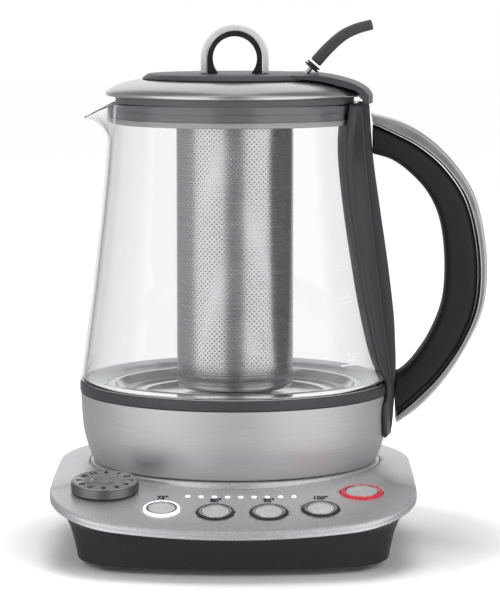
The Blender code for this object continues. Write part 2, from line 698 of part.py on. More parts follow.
def make_jug(parent):
    """Glass jug, drawn in towards its rim, with a pouring spout."""
    levels = (GLASS_BASE_Z, 100.0, 130.0, 165.0, SPOUT_START_Z, 205.0, 210.0, 214.0, GLASS_RIM_Z - 0.8)
    outer = [glass_ring(z, 0.0) for z in levels]
    rim = [glass_ring(GLASS_RIM_Z, 0.7), glass_ring(GLASS_RIM_Z, GLASS_WALL - 0.7)]
    inner = [glass_ring(z, GLASS_WALL) for z in levels[::-1]]
    make_object("glass_jug", loft(outer + rim + inner, joined=True), "clear_glass", parent)


def bracket_inside(z):
    """Radius of the bracket's inner face, clear of the jug, the band and the cup."""
    if z > 80.0:
        return glass_radius(z) + 0.7
    if z > 70.0:
        return 78.5
    return blend_table(CUP_PROFILE, z) + 0.8


def bracket_ring(z):
    """Section of the bracket at a height: flanges at both edges, a recess and a raised spine."""
    inside = bracket_inside(z)
    wrap = blend_table(BRACKET_WRAP, z)
    recess = inside + 0.9
    spine = max(blend_table(BRACKET_SPINE, z), inside + 1.7)
    root = math.degrees(math.asin(SPINE_HALF_WIDTH / recess))
    side = [polar(inside + 1.9, 0.8 - wrap), polar(inside + 1.9, 5.5 - wrap), polar(recess, 6.3 - wrap),
            polar(recess, -root), (spine - 0.6, -SPINE_HALF_WIDTH), (spine, 1.2 - SPINE_HALF_WIDTH)]
    other = [(x, -y) for x, y in side[::-1]]
    return [(x, y, z) for x, y in side + other + arc((0, 0), inside, wrap, -wrap, 8)]


def polar(radius, degrees):
    """Point (x, y) at a radius and an angle from +X."""
    return (radius * math.cos(math.radians(degrees)), radius * math.sin(math.radians(degrees)))


def make_bracket(parent):
    """Dark moulding that wraps the jug and carries the handle."""
    rings = [bracket_ring(z) for z in BRACKET_LEVELS]
    make_object("handle_bracket", loft(rings), "dark_steel", parent)


def oval_ring(outer, inner, half_width, count, squareness):
    """Rounded section between two points (x, z), so wide to each side along Y."""
    ring = []
    for i in range(count):
        turn = math.tau * (i + 0.5) / count
        across = math.copysign(abs(math.cos(turn)) ** squareness, math.cos(turn))
        aside = math.copysign(abs(math.sin(turn)) ** squareness, math.sin(turn))
        share = (1 + across) / 2
        ring.append((inner[0] + (outer[0] - inner[0]) * share, half_width * aside,
                     inner[1] + (outer[1] - inner[1]) * share))
    return ring


def make_handle(parent):
    """D-shaped handle: a black grip with a steel strip round its outside."""
    stations = curve_through(HANDLE_STATIONS, 2)
    grip = [oval_ring(s[2:4], s[4:6], HANDLE_HALF_WIDTH, 12, 0.55) for s in stations]
    make_object("handle_grip", loft(grip), "black_grip", parent)
    trim = []
    for outer_x, outer_z, line_x, line_z, _, _ in stations:
        outer, line = Vector((outer_x, outer_z)), Vector((line_x, line_z))
        inner = line + (outer - line).normalized() * 0.4
        trim.append(oval_ring(outer, inner, TRIM_HALF_WIDTH, 8, 0.3))
    make_object("handle_trim", loft(trim), "brushed_steel", parent)


# Lid

def make_lid_shells(parent):
    """Domed lid, the hollow insert below it and the seal round the insert."""
    radii = (COVER_RADIUS, 52.0, 57.0, 61.0, 63.5)
    outer = [(0, DOME_TOP_Z)] + [(r, dome_height(r)) for r in radii]
    lip = [(LID_LIP_RADIUS, DOME_EDGE_Z), (63.4, LID_LIP_Z), (60.9, LID_LIP_Z), (62.2, 222.6)]
    inner = [(r - 0.9, dome_height(r) - DOME_WALL) for r in radii[-2::-1]]
    dome = make_object("lid_dome", revolve(outer + lip + inner + [(0, DOME_TOP_Z - DOME_WALL)], LARGE_STEPS),
                       "brushed_steel", parent)
    combine(dome, "dome_slot", lever_slot(220.0, 229.4, 3.2))
    insert = ((30.0, 208.2), (57.6, 208.2), (57.6, 210.3), (59.4, 210.3), (59.4, 223.5), (58.2, 223.5),
              (56.2, 209.4), (30.0, 209.4))
    make_object("lid_insert", revolve(insert, LARGE_STEPS), "grey_plastic", parent)
    seal = ((57.9, 207.4), (59.7, 207.4), (59.9, 208.0), (59.9, 210.0), (57.9, 210.0))
    make_object("lid_seal", revolve(seal, LARGE_STEPS), "seal_rubber", parent)


def lever_slot(low, high, margin):
    """Cutter for the slot that the lever's rod swings in."""
    right = LEVER_PIN[0] + (high - LEVER_PIN[1]) / math.tan(math.radians(ROD_SLOPE))
    return boxes(((LEVER_PIN[0] - margin, -1.8, low), (right + 2.2, 1.8, high)))


def make_cover(parent):
    """Round cover plate with a tongue that reaches over to the handle bracket."""
    disc = ((0, COVER_UNDER), (COVER_RADIUS - 0.3, COVER_UNDER), (COVER_RADIUS, 229.9), (43.2, COVER_TOP),
            (0, COVER_TOP))
    cover = make_object("lid_cover", revolve(disc, LARGE_STEPS), "dark_steel", parent)
    steps = [TONGUE_END * i / 4 for i in range(-4, 5)]
    end = [(TONGUE_REACH - y * y / TONGUE_BOW, y) for y in steps]
    outline = [(24.0, -TONGUE_ROOT + 0.6), (30.2, -TONGUE_ROOT)] + end
    outline += [(30.2, TONGUE_ROOT), (24.0, TONGUE_ROOT - 0.6)]
    bm = sheet(outline, (36, 43, 48, 53, 58, 62, 65, 67), (-30, -22, -11, 0, 11, 22, 30, 40))
    result = bmesh.ops.extrude_face_region(bm, geom=bm.faces[:])
    raised = {item for item in result["geom"] if isinstance(item, bmesh.types.BMVert)}
    for vert in bm.verts:
        out = vert.co.x + vert.co.y ** 2 / TONGUE_BOW
        radius = vert.co.xy.length
        if vert in raised:
            vert.co.z = blend_table(TONGUE_TOP, out)
        elif radius > LID_LIP_RADIUS + 0.4:
            vert.co.z = blend_table(TONGUE_UNDER, out)
        else:
            vert.co.z = max(blend_table(TONGUE_UNDER, out), dome_height(radius) + TONGUE_CLEARANCE)
    combine(cover, "tongue", bm, "UNION")
    combine(cover, "cover_slot", lever_slot(229.0, 232.5, 1.9))


def make_loop(parent):
    """Upright finger loop: a black core under a steel band."""
    foot = COVER_TOP + GAP
    centre = (0, LOOP_CENTRE_Z)
    join = LOOP_RADIUS - LOOP_BAND
    half = LOOP_DEPTH / 2
    band = arch(centre, LOOP_RADIUS, foot) + arch(centre, join + 0.15, foot)[::-1]
    make_object("lid_loop_band", upright_prism(band, -half, half), "bright_steel", parent)
    low = math.degrees(math.asin((LOOP_CENTRE_Z - foot) / LOOP_HOLE_RADIUS))
    core = arch(centre, join - 0.15, foot) + arc(centre, LOOP_HOLE_RADIUS, 180 + low, -low, 20)
    make_object("lid_loop_core", upright_prism(core, 0.5 - half, half - 0.5), "black_grip", parent)


def arch(centre, radius, foot):
    """Half circle with straight legs down to a height, from the right leg to the left one."""
    return [(centre[0] + radius, foot)] + arc(centre, radius, 0, 180, 16) + [(centre[0] - radius, foot)]


def make_lever_mount(parent):
    """Fork under the dome and the pin that the lever turns on."""
    x, z = LEVER_PIN
    plan = ((x - 6.2, -4.8), (x + 3.8, -4.8), (x + 3.8, -3.4), (x - 4.2, -3.4), (x - 4.2, 3.4),
            (x + 3.8, 3.4), (x + 3.8, 4.8), (x - 6.2, 4.8))
    block = prism(plan, z - 3.4, DOME_TOP_Z - DOME_WALL - GAP)
    fork = make_object("lever_fork", block, "grey_plastic", parent)
    combine(fork, "fork_bore", rod(1.2, (x, -8, z), (x, 8, z), TINY_STEPS))
    make_object("lever_pin", rod(0.9, (0, -5.4, 0), (0, 5.4, 0), TINY_STEPS), "bright_steel", parent,
                (x, 0, z))


# Lever

def make_lever(parent):
    """Bell crank with its rod, the collar on the rod and the grip."""
    slope = math.radians(ROD_SLOPE)
    along = Vector((math.cos(slope), 0, math.sin(slope)))
    crank = math.radians(CRANK_REST)
    end = (CRANK_LENGTH * math.cos(crank), CRANK_LENGTH * math.sin(crank))
    outline = arc((0, 0), 2.2, CRANK_REST + 90, CRANK_REST + 270, 8)
    outline += arc(end, 1.8, CRANK_REST - 90, CRANK_REST + 90, 6)
    lever = make_object("lever_rod", upright_prism(outline, -1.1, 1.1), "bright_steel", parent)
    combine(lever, "upper_rod", rod(ROD_RADIUS, along * 1.5, along * COLLAR_REACH, TINY_STEPS), "UNION")
    pin = rod(CRANK_PIN_RADIUS, (end[0], -0.6, end[1]), (end[0], 3.8, end[1]), TINY_STEPS)
    combine(lever, "crank_pin", pin, "UNION")
    combine(lever, "lever_bore", rod(1.2, (0, -3, 0), (0, 3, 0), TINY_STEPS))
    collar = ((0, 0.4), (1.4, 0.4), (1.4, -1.3), (3.4, -1.3), (4.3, -0.6), (4.3, 0.2), (3.3, 0.4),
              (3.3, 1.3), (0, 1.3))
    make_object("lever_collar", revolve(collar, SMALL_STEPS), "dark_steel", parent,
                along * COLLAR_REACH, (0, math.pi / 2 - slope, 0))
    line = [Vector((x - LEVER_PIN[0], z - LEVER_PIN[1])) for x, z in curve_through(GRIP_LINE, 2)]
    rings = []
    for i, point in enumerate(line):
        forward = (line[min(i + 1, len(line) - 1)] - line[max(i - 1, 0)]).normalized()
        across = Vector((-forward.y, forward.x)) * (3.0 - 0.4 * i / (len(line) - 1))
        rings.append(oval_ring(point + across, point - across, 4.6, 10, 0.6))
    make_object("lever_grip", loft(rings), "black_grip", parent)


# Filter

def make_filter(parent):
    """Tea filter: a perforated tube, its closed end and the rim with the lever's yoke."""
    inner = FILTER_RADIUS - FILTER_WALL
    tube = ((inner, FILTER_BAND_TOP + GAP), (FILTER_RADIUS, FILTER_BAND_TOP + GAP),
            (FILTER_RADIUS, FILTER_FLANGE_Z - GAP), (inner, FILTER_FLANGE_Z - GAP))
    make_object("filter_basket", revolve(tube, MIDDLE_STEPS), "brushed_steel", parent)
    low = FILTER_BOTTOM
    cap = ((0, low), (26.5, low), (28.5, low + 1.1), (FILTER_RADIUS, low + 3.0),
           (FILTER_RADIUS, FILTER_BAND_TOP), (inner, FILTER_BAND_TOP), (inner, low + 3.2),
           (27.8, low + 1.8), (26.3, low + 0.9), (0, low + 0.9))
    make_object("filter_cap", revolve(cap, MIDDLE_STEPS), "brushed_steel", parent)
    flange = FILTER_FLANGE_Z
    rim = ((inner - 0.3, 204.0), (inner - 0.3, flange), (33.0, flange), (33.0, flange + 1.0),
           (inner - 1.3, flange + 1.0), (inner - 1.3, 204.0))
    ring = make_object("filter_rim", revolve(rim, MIDDLE_STEPS), "bright_steel", parent)
    yoke = boxes(((31.5, 1.6, flange + 0.2), (48.4, 3.0, flange + 6.3)))
    combine(ring, "yoke", yoke, "UNION")
    play = CRANK_PIN_RADIUS + 0.6
    left, right = crank_end(0)[0] - play, crank_end(LEVER_LIFT)[0] + play
    window = boxes(((left, 0.0, 210.75), (right, 5.0, 214.4)))
    combine(ring, "yoke_window", window)


def main():
    """Build the whole tea maker."""
    for obj in list(bpy.data.objects):
        bpy.data.objects.remove(obj, do_unlink=True)
    base = make_empty("base", (KETTLE_X, KETTLE_Y, 0))
    make_housing(base)
    make_bottom_plate(base)
    make_fascia(base)
    make_seat(base)
    make_connector(base)
    make_boards(base)
    make_encoder(base)
    make_lights(base)
    make_gland(base)
    make_feet(base)
    for number, spot in enumerate(BUTTON_SPOTS, 1):
        make_button(base, f"button_{number}", spot, BUTTON_RING_RADIUS, BUTTON_CAP_RADIUS,
                    "white_light" if number == 1 else "dark_plastic", "brushed_steel")
    make_button(base, "power_button", POWER_SPOT, POWER_RING_RADIUS, POWER_CAP_RADIUS, "red_light",
                "brushed_steel")
    make_knob(base)
    foot = make_empty("kettle_foot", (0, 0, 0), base)
    make_foot_disc(foot)
    kettle = make_empty("kettle", (0, 0, 0), foot)
    make_cup(kettle)
    make_band(kettle)
    make_heater(kettle)
    make_jug(kettle)
    make_bracket(kettle)
    make_handle(kettle)
    lid = make_empty("lid", (0, 0, 0), kettle)
    make_lid_shells(lid)
    make_cover(lid)
    make_loop(lid)
    make_lever_mount(lid)
    lever = make_empty("lever", (LEVER_PIN[0], 0, LEVER_PIN[1]), lid)
    make_lever(lever)
    infuser = make_empty("filter", (0, 0, 0), lid)
    make_filter(infuser)


main()
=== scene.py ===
"""Looks of an automatic tea maker, laid out as an add-on and run as a script.

Shapes are drawn in millimetres from the kettle's axis and the table top, with
X to the right, Y away from the control panel and Z up, and are put in their
place in metres when a piece is finished.
"""
import math

import bmesh
import bpy
from bpy.props import FloatProperty, IntProperty, PointerProperty, StringProperty
from mathutils import Matrix, Vector


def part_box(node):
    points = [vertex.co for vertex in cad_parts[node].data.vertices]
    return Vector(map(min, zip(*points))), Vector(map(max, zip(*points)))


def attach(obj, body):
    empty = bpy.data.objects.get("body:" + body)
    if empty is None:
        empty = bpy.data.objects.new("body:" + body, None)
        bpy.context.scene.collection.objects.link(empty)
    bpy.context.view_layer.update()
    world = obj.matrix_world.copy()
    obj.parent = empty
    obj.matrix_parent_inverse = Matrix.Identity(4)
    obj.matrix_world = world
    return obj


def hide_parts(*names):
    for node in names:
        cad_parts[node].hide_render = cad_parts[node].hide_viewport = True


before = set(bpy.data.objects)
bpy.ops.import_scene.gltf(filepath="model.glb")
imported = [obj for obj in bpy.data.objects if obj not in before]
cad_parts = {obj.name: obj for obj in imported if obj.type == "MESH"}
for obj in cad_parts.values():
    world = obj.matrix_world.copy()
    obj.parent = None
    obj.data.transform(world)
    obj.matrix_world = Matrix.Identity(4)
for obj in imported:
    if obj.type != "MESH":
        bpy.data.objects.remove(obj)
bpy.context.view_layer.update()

bl_info = {
    "name": "Tea maker pieces",
    "version": (1, 0, 0),
    "blender": (4, 5, 0),
    "location": "3D View > Sidebar > Tea maker",
    "description": "Builds a glass tea maker on its control base, piece by piece",
    "category": "Add Mesh",
}

MM = 0.001
CUP_LOW, CUP_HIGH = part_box("steel_cup")
AXIS_X = (CUP_LOW[0] + CUP_HIGH[0]) / 2
AXIS_Y = (CUP_LOW[1] + CUP_HIGH[1]) / 2

# Facets round a large ring, a hand-sized one and a small one
LARGE, MIDDLE, SMALL = 160, 72, 40
SHARP_EDGE = math.radians(30)


# Settings that a user would change

def length_setting(name, description, default):
    """Setting for a length in metres."""
    return FloatProperty(name=name, description=description, default=default, unit="LENGTH")


def colour_setting(name, description, default):
    """Setting for a colour, as an sRGB hex code."""
    return StringProperty(name=name, description=description, default=default)


class TeaMakerSizes(bpy.types.PropertyGroup):
    """Driving sizes of the tea maker."""

    base_radius: length_setting("Base radius", "Rounded back and sides of the base", 0.088)
    corner_radius: length_setting("Corner radius", "Front corners of the base in plan", 0.043)
    deck_height: length_setting("Deck height", "Level part of the fascia plate", 0.038)
    dish_depth: length_setting("Dish depth", "How far the control panel is pressed in", 0.0006)
    seat_radius: length_setting("Seat radius", "Raised disc that the kettle stands on", 0.073)
    knob_radius: length_setting("Knob radius", "Timer knob", 0.01625)
    band_radius: length_setting("Band radius", "Clamp band between jug and cup", 0.0779)
    rim_radius: length_setting("Rim radius", "Outside of the jug at its rim", 0.0624)
    glass_wall: length_setting("Glass wall", "Thickness of the jug", 0.0022)
    lid_radius: length_setting("Lid radius", "Outer edge of the domed lid", 0.0644)
    cover_radius: length_setting("Cover radius", "Round cover plate on the lid", 0.046)
    loop_radius: length_setting("Loop radius", "Outside of the finger loop", 0.0168)
    filter_radius: length_setting("Filter radius", "Outside of the tea filter", 0.02925)
    holes_round: IntProperty(name="Holes round", description="Perforations round the filter", default=74)
    light_count: IntProperty(name="Lights", description="Indicator lights in the row", default=9)


class TeaMakerColours(bpy.types.PropertyGroup):
    """Colours of the tea maker, as sRGB hex codes."""

    steel: colour_setting("Steel", "Brushed stainless steel", "E4E4E5")
    dark_steel: colour_setting("Dark steel", "Tinted trim of lid, band and bracket", "444446")
    charcoal: colour_setting("Charcoal", "Moulded housing", "2E2E2F")
    grip: colour_setting("Grip", "Soft handle grip", "262627")
    insert: colour_setting("Insert", "Plastic under the lid", "6E6E70")
    silicone: colour_setting("Silicone", "Seals", "B9B9BA")
    rubber: colour_setting("Rubber", "Feet and bush", "1E1E1F")
    ink: colour_setting("Ink", "Printed numbers", "161616")
    red: colour_setting("Red light", "Ring round the power button", "D8202B")
    lamp: colour_setting("White light", "Lit ring and indicator lights", "FFFFFF")
    glass: colour_setting("Glass", "Tint of the jug", "FDFEFE")
    board: colour_setting("Board", "Circuit boards", "2F5A3C")


# Small sums

def between(table, at):
    """Straight-line value at a place in a table of (place, value) in rising order."""
    if at <= table[0][0]:
        return table[0][1]
    for (low, low_value), (high, high_value) in zip(table, table[1:]):
        if at <= high:
            return low_value + (high_value - low_value) * (at - low) / (high - low)
    return table[-1][1]


def smooth_step(value):
    """0 below 0, 1 above 1, and an S-curve between."""
    value = min(1.0, max(0.0, value))
    return value * value * (3.0 - 2.0 * value)


def curve_through(points, spans):
    """Points of a Catmull-Rom curve through the given ones, with so many steps in each span."""
    ends = [points[0]] + list(points) + [points[-1]]
    result = []
    for before, start, stop, after in zip(ends, ends[1:], ends[2:], ends[3:]):
        for step in range(spans):
            t = step / spans
            result.append(tuple(
                0.5 * (2 * b + (c - a) * t + (2 * a - 5 * b + 4 * c - d) * t ** 2
                       + (3 * b - a - 3 * c + d) * t ** 3)
                for a, b, c, d in zip(before, start, stop, after)))
    result.append(tuple(points[-1]))
    return result


def arc(centre, radius, start, stop, steps):
    """Points on an arc in the plane, from one angle to another in degrees."""
    angles = [math.radians(start + (stop - start) * i / steps) for i in range(steps + 1)]
    return [(centre[0] + radius * math.cos(a), centre[1] + radius * math.sin(a)) for a in angles]


def polar(radius, degrees):
    """Point (x, y) at a radius and an angle from +X."""
    return (radius * math.cos(math.radians(degrees)), radius * math.sin(math.radians(degrees)))


# Meshes, drawn in millimetres from the kettle's axis

def ring_edges(bm, points):
    """Closed ring of edges through points."""
    verts = [bm.verts.new(point) for point in points]
    return [bm.edges.new((vert, verts[(i + 1) % len(verts)])) for i, vert in enumerate(verts)]


def turned(outline, steps=LARGE):
    """Spin an outline of (radius, height) about Z. It ends on the axis, or is closed into a ring."""
    bm = bmesh.new()
    verts = [bm.verts.new((radius, 0, z)) for radius, z in outline]
    pairs = list(zip(verts, verts[1:]))
    if outline[0][0] > 0 or outline[-1][0] > 0:
        pairs.append((verts[-1], verts[0]))
    edges = [bm.edges.new(pair) for pair in pairs]
    bmesh.ops.spin(bm, geom=verts + edges, cent=(0, 0, 0), axis=(0, 0, 1), angle=math.tau, steps=steps,
                   use_merge=True)
    return bm


def skinned(rings, joined=False):
    """Bridge rings of points one after another, joined end to end or filled at the ends."""
    bm = bmesh.new()
    loops = [ring_edges(bm, ring) for ring in rings]
    pairs = list(zip(loops, loops[1:]))
    if joined:
        pairs.append((loops[-1], loops[0]))
    else:
        for loop in (loops[0], loops[-1]):
            bmesh.ops.contextual_create(bm, geom=loop)
    for low, high in pairs:
        bmesh.ops.bridge_loops(bm, edges=low + high)
    return bm


def raised(outline, low, high):
    """Plate over an outline of (x, y), between two heights."""
    bm = bmesh.new()
    face = bm.faces.new([bm.verts.new((x, y, low)) for x, y in outline])
    result = bmesh.ops.extrude_face_region(bm, geom=[face])
    bmesh.ops.translate(bm, vec=(0, 0, high - low),
                        verts=[item for item in result["geom"] if isinstance(item, bmesh.types.BMVert)])
    return bm


def upright(outline, front, back):
    """Plate over an outline of (x, z), between two depths."""
    bm = raised(outline, -back, -front)
    bmesh.ops.rotate(bm, cent=(0, 0, 0), matrix=Matrix.Rotation(math.pi / 2, 3, "X"), verts=bm.verts)
    return bm


def bar(start, stop, radius, steps=SMALL):
    """Round bar from one point to another."""
    bm = bmesh.new()
    start, stop = Vector(start), Vector(stop)
    along = stop - start
    place = Matrix.Translation((start + stop) / 2) @ along.to_track_quat("Z", "Y").to_matrix().to_4x4()
    bmesh.ops.create_cone(bm, cap_ends=True, cap_tris=False, segments=steps, radius1=radius, radius2=radius,
                          depth=along.length, matrix=place)
    return bm


def ease_edges(bm, width, segments):
    """Round every sharp edge."""
    bmesh.ops.recalc_face_normals(bm, faces=bm.faces)
    edges = [e for e in bm.edges if e.is_manifold and e.calc_face_angle(0.0) > SHARP_EDGE]
    bmesh.ops.bevel(bm, geom=edges, offset=width, offset_type="OFFSET", affect="EDGES", segments=segments,
                    profile=0.5, material=-1, clamp_overlap=True)
    return bm


def divide(bm, place, normal):
    """Add a line of vertices along a plane."""
    bmesh.ops.bisect_plane(bm, geom=bm.verts[:] + bm.edges[:] + bm.faces[:], dist=0.0001,
                           plane_co=place, plane_no=normal)


def placed(bm, matrix):
    """The mesh, moved by a matrix."""
    bmesh.ops.transform(bm, matrix=matrix, verts=bm.verts)
    return bm


def join(bm, part):
    """Add one mesh to another, and free it."""
    mesh = bpy.data.meshes.new("part")
    part.to_mesh(mesh)
    part.free()
    bm.from_mesh(mesh)
    bpy.data.meshes.remove(mesh)


def mesh_from(name, bm, tidy):
    """Mesh in metres, in its place on the model."""
    if tidy:
        bmesh.ops.remove_doubles(bm, verts=bm.verts, dist=0.0005)
        bmesh.ops.recalc_face_normals(bm, faces=bm.faces)
    placed(bm, Matrix.Translation((AXIS_X, AXIS_Y, 0)) @ Matrix.Scale(MM, 4))
    mesh = bpy.data.meshes.new(name)
    bm.to_mesh(mesh)
    bm.free()
    return mesh


def combined(bm, tool, operation):
    """Take a tool's volume out of a mesh, or join it on."""
    objects = []
    for name, part in (("whole", bm), ("tool", tool)):
        bmesh.ops.recalc_face_normals(part, faces=part.faces)
        mesh = bpy.data.meshes.new(name)
        part.to_mesh(mesh)
        part.free()
        objects.append(bpy.data.objects.new(name, mesh))
        bpy.context.scene.collection.objects.link(objects[-1])
    modifier = objects[0].modifiers.new("combine", "BOOLEAN")
    modifier.operation = operation
    modifier.solver = "EXACT"
    modifier.object = objects[1]
    result = bmesh.new()
    result.from_mesh(objects[0].evaluated_get(bpy.context.evaluated_depsgraph_get()).to_mesh())
    for obj in objects:
        bpy.data.objects.remove(obj, do_unlink=True)
    return result


def add_piece(name, bm, body, material, nodes, angle=35.0, tidy=True):
    """Object of a mesh that rides on a body and stands for CAD nodes; faces meet sharply past the angle."""
    mesh = mesh_from(name, bm, tidy)
    mesh.shade_smooth()
    mesh.set_sharp_from_angle(angle=math.radians(angle))
    mesh.materials.append(MATERIALS[material])
    obj = bpy.data.objects.new(name, mesh)
    bpy.context.scene.collection.objects.link(obj)
    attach(obj, body)
    if nodes:
        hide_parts(*nodes)
    return obj


# Materials

def linear(hex_code):
    """Linear colour of an sRGB hex code."""
    channels = [int(hex_code[i:i + 2], 16) / 255 for i in (0, 2, 4)]
    return [c / 12.92 if c <= 0.04045 else ((c + 0.055) / 1.055) ** 2.4 for c in channels] + [1.0]


def shade(hex_code, factor):
    """Linear colour of a hex code, made lighter or darker."""
    return [min(1.0, c * factor) for c in linear(hex_code)[:3]] + [1.0]


def add_node(tree, kind, sockets=(), **settings):
    """Add a node with its settings, and its sockets' values or the nodes or sockets that feed them."""
    node = tree.nodes.new("ShaderNode" + kind)
    for key, value in settings.items():
        setattr(node, key, value)
    for socket, value in dict(sockets).items():
        if isinstance(value, bpy.types.Node):
            value = value.outputs[0]
        if isinstance(value, bpy.types.NodeSocket):
            tree.links.new(value, node.inputs[socket])
        else:
            node.inputs[socket].default_value = value
    return node


def new_material(name, hex_code, roughness, metallic, sockets):
    """Material with a Principled shader; returns the material, its node tree and the shader."""
    material = bpy.data.materials.new(name)
    material.use_nodes = True
    material.diffuse_color = linear(hex_code)
    tree = material.node_tree
    shader = tree.nodes["Principled BSDF"]
    basics = {"Base Color": linear(hex_code), "Roughness": roughness, "Metallic": metallic}
    for socket, value in {**basics, **sockets}.items():
        shader.inputs[socket].default_value = value
    return material, tree, shader


def surface_grain(tree, shader, hex_code, size, contrast, rough, relief, detail):
    """Grain of so many mm along X, Y and Z in colour, roughness and relief."""
    place = add_node(tree, "TexCoord").outputs["Object"]
    scale = [1 / (length * MM) for length in size]
    place = add_node(tree, "Mapping", {"Vector": place, "Scale": scale,
                                       "Location": (-AXIS_X * scale[0], -AXIS_Y * scale[1], 0)}).outputs[0]
    noise = add_node(tree, "TexNoise", {"Vector": place, "Scale": 1.0, "Detail": detail}).outputs["Fac"]
    tone = add_node(tree, "MapRange", {"Value": noise, "From Min": 0.3, "From Max": 0.7}).outputs[0]
    colour = add_node(tree, "Mix", data_type="RGBA")
    tree.links.new(tone, colour.inputs["Factor"])
    colour.inputs["A"].default_value = shade(hex_code, 1 - contrast)
    colour.inputs["B"].default_value = shade(hex_code, 1 + contrast)
    tree.links.new(colour.outputs["Result"], shader.inputs["Base Color"])
    gloss = add_node(tree, "MapRange", {"Value": tone, "To Min": rough[0], "To Max": rough[1]})
    tree.links.new(gloss.outputs[0], shader.inputs["Roughness"])
    if relief:
        bump = add_node(tree, "Bump", {"Height": noise, "Strength": 1.0, "Distance": relief * MM})
        tree.links.new(bump.outputs[0], shader.inputs["Normal"])


